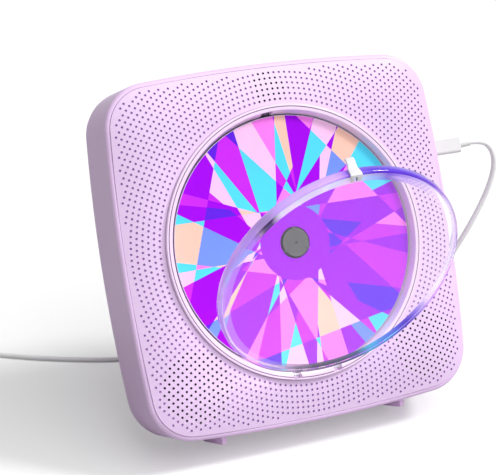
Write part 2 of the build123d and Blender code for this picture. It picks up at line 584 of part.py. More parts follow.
with BuildPart() as disc_well:
    turned([
        (WELL_HUB_R, WELL_FLOOR), (WELL_R, WELL_FLOOR), (WELL_R, WELL_TOP), (WELL_FLANGE, WELL_TOP),
        (WELL_FLANGE, WELL_TOP + 1.2), (WELL_R + WELL_WALL, WELL_TOP + 1.2), (WELL_R + WELL_WALL, WELL_UNDER),
        (WELL_HUB_R, WELL_UNDER),
    ])
    for ear_x, ear_u in EARS:
        with BuildSketch(at(WELL_UNDER)) as ear:
            with Locations((ear_x, ear_u)):
                Circle(EAR_R)
            side = 1 if ear_x > 0 else -1
            with Locations((ear_x - side * EAR_AT / 10, ear_u)):
                Rectangle(EAR_AT / 5, 2 * EAR_R)
        extrude(ear.sketch, amount=-EAR_T)
    bars(DAMPER_R, WELL_UNDER, DAMPER_TOP - WELL_UNDER, DAMPERS)
    bars(POST_PIN_R, WELL_UNDER, DAMPER_END - WELL_UNDER, DAMPERS)
    bars(SCREW_R - 0.2 + PILOT_CLEAR, WELL_UNDER + 0.6, DAMPER_END, DAMPERS, Mode.SUBTRACT)
    bars(SCREW_R + SCREW_CLEAR, WELL_UNDER - 1, EAR_T + 2, EARS, Mode.SUBTRACT)
    blocks(2 * SLOT_HALF, SLOT_END, WELL_FLOOR - 1, WELL_T + 2, [(0, SLOT_END / 2)], Mode.SUBTRACT)
    blocks(CLIP_W + CATCH_CLEAR, 3.0, WELL_TOP - 1, 1.6, [catch_spot], Mode.SUBTRACT)
finish(disc_well.part, "disc_well")

with BuildPart() as well_screws:
    screws(SCREW_R, SCREW_HEAD_R, EAR_TOP + EAR_T, SCREW_HEAD_T, EAR_TOP - 2.8, EARS)
finish(well_screws.part, "well_screws")

# ---------------------------------------------------------------- dust cover, stored open
LID_HINGE = Axis(CENTRE + along(0, LID_PIVOT_U, LID_PIVOT_D), RIGHT)
with BuildPart() as dust_cover:
    bars(LID_R, -LID_FRONT, LID_SKIRT_D + LID_FRONT)
    front_edge = dust_cover.edges().group_by(Axis(CENTRE, OUT))[-1]
    fillet(front_edge, LID_ROUND)
    bars(LID_R - LID_WALL, LID_FACE_T - LID_FRONT, 3 * LID_FRONT, mode=Mode.SUBTRACT)
    for side in (-1, 1):
        with BuildSketch(side_view(side * LUG_X)) as lug:
            with Locations((LID_PIVOT_U, -LID_PIVOT_D)):
                Circle(LUG_R)
            with Locations(((LID_PIVOT_U - LID_R + LID_WALL + 1.6) / 2, -LID_PIVOT_D)):
                Rectangle(LID_WALL + 1.6 - LID_R - LID_PIVOT_U, 2 * LUG_R)
        extrude(lug.sketch, amount=LUG_W / 2, both=True)
    with BuildSketch(from_side(0, LID_PIVOT_U, LID_PIVOT_D)) as lug_bore:
        Circle(LID_PIN_R + LUG_BORE_CLEAR)
    extrude(lug_bore.sketch, amount=LUG_X + LUG_W, both=True, mode=Mode.SUBTRACT)
open_cover = dust_cover.part.rotate(LID_HINGE, LID_OPEN)
finish(open_cover, "dust_cover")

clip_in = LID_R + CLIP_AIR
clip_out = clip_in + CLIP_T
clip_face = LID_FRONT + CLIP_AIR
clip_end = LID_SKIRT_D + CLIP_TAIL
with BuildPart() as lid_clip:
    with BuildSketch(side_view(0)) as clip_side:
        with BuildLine():
            Polyline(
                (clip_in, clip_face), (clip_in, 0), (clip_in + CLIP_FLARE, -CLIP_STEP_D),
                (clip_in + CLIP_FLARE, -clip_end), (clip_out + CLIP_FLARE, -clip_end),
                (clip_out + CLIP_FLARE, -CLIP_STEP_D + CLIP_T / 2), (clip_out, CLIP_T / 2),
                (clip_out, clip_face + CLIP_T),
                (LID_R - CLIP_OVER, clip_face + CLIP_T), (LID_R - CLIP_OVER, clip_face), close=True)
        make_face()
    extrude(clip_side.sketch, amount=CLIP_W / 2, both=True)
open_clip = lid_clip.part.rotate(SPIN, CLIP_TURN).rotate(LID_HINGE, LID_OPEN)
finish(open_clip, "lid_clip")

# ---------------------------------------------------------------- disc and what spins with it
with BuildPart() as compact_disc:
    turned([(DISC_BORE, DISC_TOP), (DISC_R, DISC_TOP), (DISC_R, DISC_LOW), (DISC_BORE, DISC_LOW)])
finish(compact_disc.part, "compact_disc")

with BuildPart() as turntable:
    turned([
        (SHAFT_R, DISC_LOW), (TABLE_R, DISC_LOW), (TABLE_R, DISC_LOW + TABLE_T),
        (TABLE_BOSS_R, DISC_LOW + TABLE_T), (TABLE_BOSS_R, TABLE_BOSS_END), (SHAFT_R, TABLE_BOSS_END),
    ])
finish(turntable.part, "turntable")

ball_ring = DISC_BORE - BALL_R - BALL_CLEAR
ball_spots = [
    CENTRE + along(ball_ring * cos(radians(angle)), ball_ring * sin(radians(angle)), BALL_D)
    for angle in (90, 210, 330)
]
with BuildPart() as hub_cap:
    bars(HUB_R, HUB_TOP, DISC_LOW - HUB_TOP)
    fillet(hub_cap.edges().group_by(Axis(CENTRE, OUT))[-1], 0.4)
    bars(HUB_DOT_R, HUB_TOP - 1, 1 + HUB_DOT_D, mode=Mode.SUBTRACT)
    for spot in ball_spots:
        with Locations(spot):
            Sphere(BALL_R + BALL_CLEAR, mode=Mode.SUBTRACT)
finish(hub_cap.part, "hub_cap")

with BuildPart() as clamp_balls:
    for spot in ball_spots:
        with Locations(spot):
            Sphere(BALL_R)
finish(clamp_balls.part, "clamp_balls")

with BuildPart() as spindle_shaft:
    bars(SHAFT_R, SHAFT_TOP, SHAFT_END - SHAFT_TOP)
finish(spindle_shaft.part, "spindle_shaft")

with BuildPart() as spindle_motor:
    bars(SPINDLE_R, PLATE_END, SPINDLE_END - PLATE_END)
    fillet(spindle_motor.edges().group_by(Axis(CENTRE, OUT))[0], 0.8)
    bars(SHAFT_R + BORE_CLEAR, PLATE_D, SHAFT_END + 0.4 - PLATE_D, mode=Mode.SUBTRACT)
finish(spindle_motor.part, "spindle_motor")

# ---------------------------------------------------------------- mechanism chassis on its dampers
with BuildPart() as mechanism_chassis:
    blocks(2 * PLATE_HALF, PLATE_HIGH - PLATE_LOW, PLATE_D, PLATE_T, [(0, (PLATE_HIGH + PLATE_LOW) / 2)])
    blocks(ARM_X, ARM_HIGH - ARM_LOW, PLATE_D, PLATE_T, [(ARM_X / 2, (ARM_HIGH + ARM_LOW) / 2)])
    blocks(2 * WINDOW_HALF, WINDOW_HIGH - WINDOW_LOW, PLATE_D - 1, PLATE_T + 2,
           [(0, (WINDOW_HIGH + WINDOW_LOW) / 2)], Mode.SUBTRACT)
    for lug_u in (WINDOW_LOW - ROD_LUG_T / 2, WINDOW_HIGH + ROD_LUG_T / 2):
        blocks(ROD_LUG_W, ROD_LUG_T, PLATE_END, ROD_LUG_END - PLATE_END, [(-ROD_X, lug_u), (ROD_X, lug_u)])
    with BuildSketch(from_top(WINDOW_LOW - ROD_LUG_T / 2)) as rod_seats:
        with Locations((-ROD_X, -ROD_D), (ROD_X, -ROD_D)):
            Circle(ROD_R)
    extrude(rod_seats.sketch, amount=-(WINDOW_HIGH - WINDOW_LOW + ROD_LUG_T), mode=Mode.SUBTRACT)
    bars(TABLE_BOSS_R + 1, PLATE_D - 1, PLATE_T + 2, mode=Mode.SUBTRACT)
    bars(DAMPER_NECK, PLATE_D - 1, PLATE_T + 2, DAMPERS, Mode.SUBTRACT)
    bars(GEAR_AXLE_R, PLATE_END, WHEEL_D + WHEEL_T + 0.6 - PLATE_END, [(GEAR_X, GEAR_U)])
finish(mechanism_chassis.part, "mechanism_chassis")

with BuildPart() as rubber_dampers:
    for damper_x, damper_u in DAMPERS:
        turned([
            (DAMPER_BORE, DAMPER_TOP), (DAMPER_R, DAMPER_TOP), (DAMPER_R, PLATE_D),
            (DAMPER_NECK, PLATE_D), (DAMPER_NECK, PLATE_END), (DAMPER_R, PLATE_END),
            (DAMPER_R, DAMPER_END), (DAMPER_BORE, DAMPER_END),
        ], damper_x, damper_u)
finish(rubber_dampers.part, "rubber_dampers")

with BuildPart() as damper_screws:
    screws(SCREW_R - 0.2, DAMPER_R - 0.6, DAMPER_END, SCREW_HEAD_T, WELL_UNDER + 1.2, DAMPERS)
finish(damper_screws.part, "damper_screws")

with BuildPart() as guide_rods:
    with BuildSketch(from_top(WINDOW_LOW - ROD_LUG_T / 2)) as rods:
        with Locations((-ROD_X, -ROD_D), (ROD_X, -ROD_D)):
            Circle(ROD_R)
    extrude(rods.sketch, amount=-(WINDOW_HIGH - WINDOW_LOW + ROD_LUG_T))
finish(guide_rods.part, "guide_rods")


# ---------------------------------------------------------------- laser sled and its drive
def gear_teeth(module, teeth, start):
    """Face of a spur gear: a root disc and a ring of tapered teeth, the first one at angle `start`."""
    pitch = pi * module
    radius = module * teeth / 2
    root, tip = radius - module * DEDENDUM, radius + module * ADDENDUM
    with BuildSketch(Plane.XY) as wheel:
        Circle(root)
        with PolarLocations(0, teeth, start_angle=start):
            Polygon((root - module / 2, -0.26 * pitch), (radius, -0.2 * pitch), (tip, -0.1 * pitch),
                    (tip, 0.1 * pitch), (radius, 0.2 * pitch), (root - module / 2, 0.26 * pitch), align=None)
    return wheel.sketch


def gear(module, teeth, start, depth, thick, x, u):
    """Spur gear standing square to the face at (x, u)."""
    prism(Pos(x, u, 0) * gear_teeth(module, teeth, start), depth, thick)


rack_pitch = pi * RACK_MODULE
with BuildPart() as pickup_sled:
    blocks(2 * SLED_HALF_X, 2 * SLED_HALF_U, SLED_TOP, SLED_END - SLED_TOP, [(0, LENS_REST_U)])
    with BuildSketch(from_top(LENS_REST_U)) as rod_bores:
        with Locations((-ROD_X, -ROD_D), (ROD_X, -ROD_D)):
            Circle(ROD_R + BORE_CLEAR)
    extrude(rod_bores.sketch, amount=SLED_HALF_U + 1, both=True, mode=Mode.SUBTRACT)
    rack_length = RACK_TEETH * rack_pitch
    blocks(RACK_BACK, rack_length, RACK_D, RACK_T, [(SLED_HALF_X + RACK_BACK / 2, LENS_REST_U)])
    with BuildSketch(at(RACK_D)) as rack_teeth:
        for step in range(RACK_TEETH):
            from_gear = round((LENS_REST_U - GEAR_U) / rack_pitch) * rack_pitch
            tooth_u = GEAR_U + from_gear + (step - RACK_TEETH // 2 + 0.5) * rack_pitch
            if abs(tooth_u - LENS_REST_U) < rack_length / 2 - rack_pitch / 2:
                with Locations((SLED_HALF_X + RACK_BACK, tooth_u)):
                    Polygon((-0.2, -0.28 * rack_pitch), (RACK_MODULE * DEDENDUM, -0.2 * rack_pitch),
                            (RACK_MODULE * (DEDENDUM + ADDENDUM), -0.1 * rack_pitch),
                            (RACK_MODULE * (DEDENDUM + ADDENDUM), 0.1 * rack_pitch),
                            (RACK_MODULE * DEDENDUM, 0.2 * rack_pitch), (-0.2, 0.28 * rack_pitch), align=None)
    extrude(rack_teeth.sketch, amount=-RACK_T)
    blocks(2 * LENS_BLOCK, 2 * LENS_BLOCK, SLED_TOP - 1, 3, [(0, LENS_REST_U)], Mode.SUBTRACT)
finish(pickup_sled.part, "pickup_sled")

with BuildPart() as pickup_lens:
    holder = 2 * LENS_BLOCK - 0.6
    holder_d = LENS_TOP + LENS_NECK
    blocks(holder, holder, holder_d, SLED_TOP + 2 - LENS_GAP - holder_d, [(0, LENS_REST_U)])
    bars(LENS_R, LENS_TOP, LENS_NECK, [(0, LENS_REST_U)])
    fillet(pickup_lens.edges().group_by(Axis(CENTRE, OUT))[-1], 1.0)
finish(pickup_lens.part, "pickup_lens")

with BuildPart() as drive_gear:
    gear(RACK_MODULE, RACK_PINION_TEETH, 0, RACK_D, WHEEL_D - RACK_D, GEAR_X, GEAR_U)
    gear(WHEEL_MODULE, WHEEL_TEETH, SLED_MOTOR_DIRECTION, WHEEL_D, WHEEL_T, GEAR_X, GEAR_U)
    bars(GEAR_AXLE_R + BORE_CLEAR, RACK_D - 1, WHEEL_D + WHEEL_T + 2 - RACK_D, [(GEAR_X, GEAR_U)],
         Mode.SUBTRACT)
finish(drive_gear.part, "drive_gear")

with BuildPart() as sled_motor:
    bars(SLED_MOTOR_R, PLATE_END, SLED_MOTOR_END - PLATE_END, [(MOTOR_X, MOTOR_U)])
    bars(MOTOR_SHAFT_R + BORE_CLEAR, PLATE_END + 1, SLED_MOTOR_END, [(MOTOR_X, MOTOR_U)], Mode.SUBTRACT)
finish(sled_motor.part, "sled_motor")

with BuildPart() as sled_pinion:
    gear(WHEEL_MODULE, PINION_TEETH, SLED_MOTOR_DIRECTION + 180 + 180 / PINION_TEETH, WHEEL_D - 0.2,
         WHEEL_T + 0.4, MOTOR_X, MOTOR_U)
    bars(MOTOR_SHAFT_R, PLATE_END + 1.4, WHEEL_D - PLATE_END - 1.4, [(MOTOR_X, MOTOR_U)])
finish(sled_pinion.part, "sled_pinion")

# ---------------------------------------------------------------- loudspeakers
for side, (speaker_x, speaker_u) in zip(("left", "right"), SPEAKERS):
    flange_top = POD_END + CLOTH_T
    with BuildPart() as speaker_frame:
        turned([
            (CONE_R + 0.6, flange_top), (POD_R + POD_WALL, flange_top),
            (POD_R + POD_WALL, flange_top + FRAME_FLANGE_T), (CONE_R + 1.6, flange_top + FRAME_FLANGE_T),
            (BASKET_R + 1, BASKET_END), (DUST_CAP_R, BASKET_END),
            (DUST_CAP_R, BASKET_END - BASKET_T), (BASKET_R, BASKET_END - BASKET_T),
            (CONE_R + 0.6, flange_top + FRAME_FLANGE_T),
        ], speaker_x, speaker_u)
    finish(speaker_frame.part, f"{side}_speaker_frame")
    with BuildPart() as speaker_cone:
        turned([
            (0, flange_top + CONE_DEPTH - 2.0), (DUST_CAP_R - 1.5, flange_top + CONE_DEPTH - 1.4),
            (DUST_CAP_R, flange_top + CONE_DEPTH), (CONE_R - 2, flange_top + 1.0), (CONE_R, flange_top + 0.5),
            (CONE_R + 0.5, flange_top + 0.5), (CONE_R + 0.5, flange_top + 0.5 + CONE_T),
            (CONE_R, flange_top + 0.5 + CONE_T), (CONE_R - 2, flange_top + 1.0 + CONE_T),
            (DUST_CAP_R, flange_top + CONE_DEPTH + CONE_T), (0, flange_top + CONE_DEPTH + CONE_T),
        ], speaker_x, speaker_u)
    finish(speaker_cone.part, f"{side}_speaker_cone")
    with BuildPart() as speaker_magnet:
        bars(MAGNET_R, BASKET_END, MAGNET_END - BASKET_END, [(speaker_x, speaker_u)])
        bars(DUST_CAP_R - 0.8, flange_top + CONE_DEPTH + CONE_T + 0.8, BASKET_END - flange_top - CONE_DEPTH,
             [(speaker_x, speaker_u)])
    finish(speaker_magnet.part, f"{side}_speaker_magnet")

with BuildPart() as speaker_cloths:
    bars(POD_R + POD_WALL, POD_END, CLOTH_T, SPEAKERS)
finish(speaker_cloths.part, "speaker_cloths")

# ---------------------------------------------------------------- electronics
with BuildPart() as main_board:
    blocks(2 * BOARD_HALF, BOARD_HIGH - BOARD_LOW, BOARD_D, BOARD_T, [(0, (BOARD_HIGH + BOARD_LOW) / 2)])
    bars(SCREW_R + SCREW_CLEAR, BOARD_D - 1, BOARD_T + 2, BOARD_POSTS, Mode.SUBTRACT)
finish(main_board.part, "main_board")

with BuildPart() as board_screws:
    screws(SCREW_R, SCREW_HEAD_R, BOARD_END, SCREW_HEAD_T, BOARD_D - 6, BOARD_POSTS)
finish(board_screws.part, "board_screws")

with BuildPart() as processor:
    blocks(CHIP, CHIP, BOARD_END, CHIP_T, [(8, 24)])
finish(processor.part, "processor")

with BuildPart() as capacitors:
    bars(CAPACITOR_R, BOARD_END, CAPACITOR_H, CAPACITORS)
finish(capacitors.part, "capacitors")

with BuildPart() as display_module:
    blocks(DISPLAY_W, DISPLAY_H, DISPLAY_D, DISPLAY_T, [(WINDOW_X, WINDOW_U)])
    blocks(IR_SIZE, IR_SIZE, DISPLAY_D - 1, DISPLAY_T, [(WINDOW_X, WINDOW_U)], Mode.SUBTRACT)
finish(display_module.part, "display_module")

with BuildPart() as ir_receiver:
    blocks(IR_SIZE - 0.4, IR_SIZE - 0.4, DISPLAY_D - 0.4, DISPLAY_T - 0.6, [(WINDOW_X, WINDOW_U)])
finish(ir_receiver.part, "ir_receiver")

# ---------------------------------------------------------------- push buttons on the top edge
with BuildPart() as button_board:
    blocks(KEY_BOARD_RIGHT - KEY_BOARD_LEFT - 0.2, KEY_BOARD_T, KEY_BOARD_FRONT + 0.1,
           KEY_BOARD_BACK - KEY_BOARD_FRONT - 0.2,
           [((KEY_BOARD_LEFT + KEY_BOARD_RIGHT) / 2, KEY_BOARD_U + KEY_BOARD_T / 2)])
finish(button_board.part, "button_board")

switch_u = KEY_BOARD_U + KEY_BOARD_T
with BuildPart() as tact_switches:
    for switch_x in (POWER_X, PLAY_X):
        blocks(SWITCH, SWITCH_H, BUTTON_D - SWITCH / 2, SWITCH, [(switch_x, switch_u + SWITCH_H / 2)])
    with BuildSketch(from_top(switch_u + SWITCH_H)) as tips:
        with Locations((POWER_X, -BUTTON_D), (PLAY_X, -BUTTON_D)):
            Circle(SWITCH_TIP_R)
    extrude(tips.sketch, amount=-SWITCH_TIP_H)
finish(tact_switches.part, "tact_switches")


def push_button(cap, flange, x):
    """Button standing in the top edge: stem, retaining flange and cap."""
    flange_top = side_at(x) - WALL - BUTTON_STOP
    stem = Circle(STEM_R)
    layers = (
        (stem, STEM_END, flange_top),
        (flange, flange_top - BUTTON_FLANGE_T, flange_top),
        (cap, flange_top, side_at(x) + BUTTON_PROUD),
    )
    with BuildPart() as button:
        for face, low, high in layers:
            with BuildSketch(from_top(low)) as layer:
                with Locations((x, -BUTTON_D)):
                    add(face)
            extrude(layer.sketch, amount=low - high)
        fillet(button.edges().group_by(Axis(CENTRE, UP))[-1], BUTTON_PROUD * 0.8)
    return button.part


finish(push_button(Circle(POWER_R), Circle(POWER_R + BUTTON_FLANGE), POWER_X), "power_button")
play_cap = RectangleRounded(PLAY_W, PLAY_H, PLAY_H / 2.2)
play_flange = RectangleRounded(PLAY_W + BUTTON_FLANGE, PLAY_H + 2 * BUTTON_FLANGE, PLAY_H / 2.2)
finish(push_button(play_cap, play_flange, PLAY_X), "play_button")


# ---------------------------------------------------------------- sockets
def across(face, x_from, x_to, u, depth=PORT_D, mode=Mode.ADD):
    """Extrude a face drawn in the side view between two distances to the right."""
    with BuildSketch(from_side(x_from, u, depth)) as profile:
        add(face)
    extrude(profile.sketch, amount=x_to - x_from, mode=mode)


port_case = RectangleRounded(PORT_W + 2 * PORT_WALL, PORT_T + 2 * PORT_WALL, 1.5)
port_mouth = RectangleRounded(PORT_W, PORT_T, 1.2)
with BuildPart() as usb_c_socket:
    across(port_case, PORT_IN, PORT_OUT, PORT_U)
    blocks(PORT_OUT - PORT_IN - 3, PORT_W - 2, PORT_D, BOARD_D - PORT_D,
           [((PORT_IN + PORT_OUT - 3) / 2, PORT_U)])
    across(port_mouth, PORT_IN + 1.5, PORT_OUT + 1, PORT_U, mode=Mode.SUBTRACT)
finish(usb_c_socket.part, "usb_c_socket")

aux_out = side_at(AUX_U) - 0.1
aux_in = aux_out - AUX_L - 1.5
aux_face = side_at(AUX_U + AUX_BODY_W) - WALL - 0.1
aux_case, aux_barrel, aux_bore = Rectangle(AUX_BODY_W, AUX_BODY_T), Circle(AUX_BARREL_R), Circle(AUX_BORE_R)
with BuildPart() as aux_socket:
    across(aux_case, aux_in, aux_face, AUX_U, depth=BOARD_D - AUX_BODY_T / 2)
    across(aux_barrel, aux_in + 4, aux_out, AUX_U)
    across(aux_bore, aux_out - AUX_L, aux_out + 1, AUX_U, mode=Mode.SUBTRACT)
    prism(outline(-5), BOARD_D, 9, Mode.SUBTRACT)
finish(aux_socket.part, "aux_socket")

# ---------------------------------------------------------------- lead
plug_face = RectangleRounded(PLUG_W, PLUG_T, PLUG_ROUND)
with BuildPart() as power_plug:
    across(plug_face, PLUG_FROM, PLUG_TO, PORT_U)
    fillet(power_plug.edges().group_by(Axis.X)[-1], 0.8)
finish(power_plug.part, "power_plug")

shell_face = RectangleRounded(PLUG_SHELL_W, PLUG_SHELL_T, 1.1)
with BuildPart() as plug_shell:
    across(shell_face, PLUG_SHELL_IN, PLUG_FROM, PORT_U)
finish(plug_shell.part, "plug_shell")

with BuildPart() as strain_relief:
    for relief_x, relief_r in ((PLUG_TO, RELIEF_R), (RELIEF_TO, RELIEF_TIP_R)):
        with BuildSketch(from_side(relief_x, PORT_U, PORT_D)):
            Circle(relief_r)
    loft()
finish(strain_relief.part, "strain_relief")

CORD_LOW = CORD_R + 0.05
# the lead from its strain relief: hanging down, then along the table to its coil
lead_start = CENTRE + along(RELIEF_TO, PORT_U, PORT_D)
HANGING = [
    (7.7, 0.0, 0.0), (13.9, 0.0, -5.3), (16.1, -0.1, -13.9), (14.4, 0.2, -23.7),
    (10.1, 0.9, -35.1), (3.9, 1.8, -47.4), (-2.9, 3.6, -59.9), (-10.7, 7.0, -74.4),
    (-19.5, 12.7, -90.4), (-30.5, 21.2, -104.9), (-46.0, 31.7, -114.4),
]
LYING = [
    (-67.0, 42.7), (-93.5, 51.2), (-119.5, 56.5), (-144.0, 58.7), (-170.5, 62.7),
    (-198.9, 76.5), (-226.5, 94.2), (-251.5, 116.5),
]
ROUTE = [lead_start]
ROUTE += [lead_start + Vector(*step) for step in HANGING]
ROUTE += [Vector(lead_start.X + x, lead_start.Y + y, CORD_LOW) for x, y in LYING]
coil_in = ROUTE[-1]
last_run = (ROUTE[-1] - ROUTE[-2]).normalized()
coil_mid = coil_in + Vector(-last_run.Y, last_run.X, 0) * COIL_TURNS_R[1]
out_turn = radians(COIL_OUT_ANGLE)
out_dir = Vector(-sin(out_turn), cos(out_turn), 0)
coil_out = coil_mid + Vector(cos(out_turn), sin(out_turn), 0) * COIL_TURNS_R[1]
far_z = FAR_PLUG_T / 2
TAIL = [
    coil_out + Vector(0, 0, (2 * COIL_LAYERS - 2) * CORD_R),
    coil_out + out_dir * 12 + Vector(0, 0, (2 * COIL_LAYERS - 2) * CORD_R - 0.6),
    coil_out + out_dir * 24 + Vector(0.6, -1.0, far_z - coil_out.Z + 0.3),
    coil_out + out_dir * 36 + Vector(1.4, -2.6, far_z - coil_out.Z),
]


def cord(points):
    """Round cord: straight runs joined by the largest tangent arcs that they allow."""
    radii = []
    for before, here, after in zip(points, points[1:], points[2:]):
        turn = radians((here - before).get_angle(after - here))
        run = min((here - before).length, (after - here).length)
        radii.append(0.45 * run / tan(turn / 2))
    print("bend radii", [round(radius, 1) for radius in radii])
    with BuildPart() as tube:
        with BuildLine() as path:
            FilletPolyline(*points, radius=radii)
        with BuildSketch(Plane(origin=path.line @ 0, z_dir=path.line % 0)):
            Circle(CORD_R)
        sweep()
    straight_volume = pi * CORD_R**2 * path.wires()[0].length
    print("cord volume over section times length", tube.part.volume / straight_volume)
    return tube.part


finish(cord(ROUTE), "power_cord")
finish(cord(TAIL), "cord_tail")

with BuildPart() as cord_coil:
    with BuildSketch(Plane(origin=(coil_mid.X, coil_mid.Y, CORD_LOW - CORD_R))):
        Circle(COIL_TURNS_R[1] + CORD_R)
        Circle(COIL_TURNS_R[0] - CORD_R, mode=Mode.SUBTRACT)
    extrude(amount=2 * CORD_R * COIL_LAYERS)
finish(cord_coil.part, "cord_coil")

far_dir = (TAIL[-1] - TAIL[-2])
far_dir = Vector(far_dir.X, far_dir.Y, 0).normalized()
far_side = Vector(-far_dir.Y, far_dir.X, 0)


def far_plane(distance):
    """Plane square to the far plug, this far along it from the end of the lead."""
    return Plane(origin=TAIL[-1] + far_dir * distance, x_dir=far_side, z_dir=far_dir)


with BuildPart() as far_plug:
    with BuildSketch(far_plane(0)):
        Circle(RELIEF_TIP_R)
    with BuildSketch(far_plane(FAR_RELIEF_L)):
        Circle(RELIEF_R)
    loft()
    with BuildSketch(far_plane(FAR_RELIEF_L)):
        RectangleRounded(FAR_PLUG_W, FAR_PLUG_T - 0.1, 2.2)
    extrude(amount=FAR_PLUG_L)
finish(far_plug.part, "far_plug")

with BuildPart() as far_plug_shell:
    with BuildSketch(far_plane(FAR_RELIEF_L + FAR_PLUG_L)):
        Rectangle(FAR_SHELL_W, FAR_SHELL_T)
        Rectangle(FAR_SHELL_W - 2 * FAR_SHELL_WALL, FAR_SHELL_T - 2 * FAR_SHELL_WALL, mode=Mode.SUBTRACT)
        with Locations((0, -FAR_SHELL_T / 4)):
            Rectangle(FAR_SHELL_W - 2 * FAR_SHELL_WALL, FAR_SHELL_T / 2 - 2 * FAR_SHELL_WALL)
    extrude(amount=FAR_SHELL_L)
finish(far_plug_shell.part, "far_plug_shell")
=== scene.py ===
"""Looks of the disc player: camera, lead, perforated front, printed disc, clear cover, trim and materials.
Lengths are written in millimetres and turned into metres by the helpers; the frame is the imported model's."""
import bpy
import bmesh
import math
from math import atan2, cos, hypot, pi, radians, sin, sqrt
from mathutils import Matrix, Vector
from mathutils.geometry import delaunay_2d_cdt


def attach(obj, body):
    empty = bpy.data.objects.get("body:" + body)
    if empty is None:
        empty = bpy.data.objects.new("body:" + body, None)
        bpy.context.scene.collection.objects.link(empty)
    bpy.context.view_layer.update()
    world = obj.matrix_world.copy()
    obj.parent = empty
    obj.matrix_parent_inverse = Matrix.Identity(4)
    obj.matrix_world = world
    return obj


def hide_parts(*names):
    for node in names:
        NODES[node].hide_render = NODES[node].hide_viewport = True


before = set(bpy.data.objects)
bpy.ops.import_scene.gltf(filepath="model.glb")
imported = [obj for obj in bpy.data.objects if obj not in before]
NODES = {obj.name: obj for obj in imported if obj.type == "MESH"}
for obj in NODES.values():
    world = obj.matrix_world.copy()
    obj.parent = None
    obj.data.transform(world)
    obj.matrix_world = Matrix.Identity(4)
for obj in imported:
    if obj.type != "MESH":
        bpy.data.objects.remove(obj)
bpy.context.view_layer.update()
MM = 0.001

# ------------------------------------------------------------------ camera
camera_data = bpy.data.cameras.new("camera")
camera_data.lens = 112.5
camera_data.sensor_width = 36
camera_data.clip_start = 0.01
camera_data.clip_end = 20
camera = bpy.data.objects.new("camera", camera_data)
bpy.context.scene.collection.objects.link(camera)
cam_forward = Vector((0.3762, 0.8508, -0.3669)).normalized()
cam_right = Vector((0.9145, -0.4046, 0)).normalized()
cam_up = cam_right.cross(cam_forward).normalized()
camera.matrix_world = Matrix.Translation((-0.29433, -0.60959, 0.36394)) @ Matrix(
    (cam_right, cam_up, -cam_forward)).transposed().to_4x4()
bpy.context.scene.camera = camera
bpy.context.scene.view_settings.view_transform = "Standard"

# ------------------------------------------------------------------ the leaning case's own directions
LEAN = radians(22.7)
FACE_Y, FACE_Z = -0.207815, 95.2993
HALF, SIDE_R, CORNER_R = 85.4, 800.0, 22.0
PIVOT_U, PIVOT_D, LID_OPEN = -61.2, 0.3, radians(41.8)


def at(x, u, d):
    """Point in metres, from millimetres right, up the face and behind it."""
    return Vector((x, FACE_Y + u * sin(LEAN) + d * cos(LEAN), FACE_Z + u * cos(LEAN) - d * sin(LEAN))) * MM


def opened(x, u, d):
    """Point on the dust cover, drawn shut, carried to where it stands open."""
    du, dd = u - PIVOT_U, d - PIVOT_D
    return at(x, PIVOT_U + du * cos(LID_OPEN) + dd * sin(LID_OPEN),
              PIVOT_D - du * sin(LID_OPEN) + dd * cos(LID_OPEN))


# ------------------------------------------------------------------ materials
def srgb(red, green, blue):
    """Linear colour from 0-255 display values."""
    out = []
    for value in (red, green, blue):
        value /= 255
        out.append(value / 12.92 if value <= 0.04045 else ((value + 0.055) / 1.055) ** 2.4)
    return (*out, 1.0)


def plastic(name, colour, rough=0.42, metal=0.0, mottle=0.035, grain=0.5, bump=0.015, coat=0.0, specular=0.5,
            rough_spread=0.06, blotch=18.0):
    """Moulded or plated surface: faint blotches in its colour, uneven gloss and a fine grain.
    grain and blotch are the sizes in mm, bump the grain's depth in mm."""
    mat = bpy.data.materials.new(name)
    mat.use_nodes = True
    tree = mat.node_tree
    shader = tree.nodes["Principled BSDF"]
    shader.inputs["Metallic"].default_value = metal
    shader.inputs["Coat Weight"].default_value = coat
    shader.inputs["Coat Roughness"].default_value = 0.08
    shader.inputs["Specular IOR Level"].default_value = specular
    place = tree.nodes.new("ShaderNodeTexCoord")
    patches = tree.nodes.new("ShaderNodeTexNoise")
    patches.inputs["Scale"].default_value = 1 / (blotch * MM)
    patches.inputs["Detail"].default_value = 4
    tree.links.new(place.outputs["Object"], patches.inputs["Vector"])
    mix = tree.nodes.new("ShaderNodeMix")
    mix.data_type = "RGBA"
    mix.inputs["A"].default_value = (*[c * (1 - mottle) for c in colour[:3]], 1)
    mix.inputs["B"].default_value = (*[min(1, c * (1 + mottle)) for c in colour[:3]], 1)
    tree.links.new(patches.outputs["Fac"], mix.inputs["Factor"])
    tree.links.new(mix.outputs["Result"], shader.inputs["Base Color"])
    gloss = tree.nodes.new("ShaderNodeMapRange")
    gloss.inputs["To Min"].default_value = max(0.02, rough - rough_spread)
    gloss.inputs["To Max"].default_value = rough + rough_spread
    tree.links.new(patches.outputs["Fac"], gloss.inputs["Value"])
    tree.links.new(gloss.outputs["Result"], shader.inputs["Roughness"])
    fine = tree.nodes.new("ShaderNodeTexNoise")
    fine.inputs["Scale"].default_value = 1 / (grain * MM)
    fine.inputs["Detail"].default_value = 3
    tree.links.new(place.outputs["Object"], fine.inputs["Vector"])
    relief = tree.nodes.new("ShaderNodeBump")
    relief.inputs["Strength"].default_value = 1
    relief.inputs["Distance"].default_value = bump * MM
    tree.links.new(fine.outputs["Fac"], relief.inputs["Height"])
    tree.links.new(relief.outputs["Normal"], shader.inputs["Normal"])
    return mat


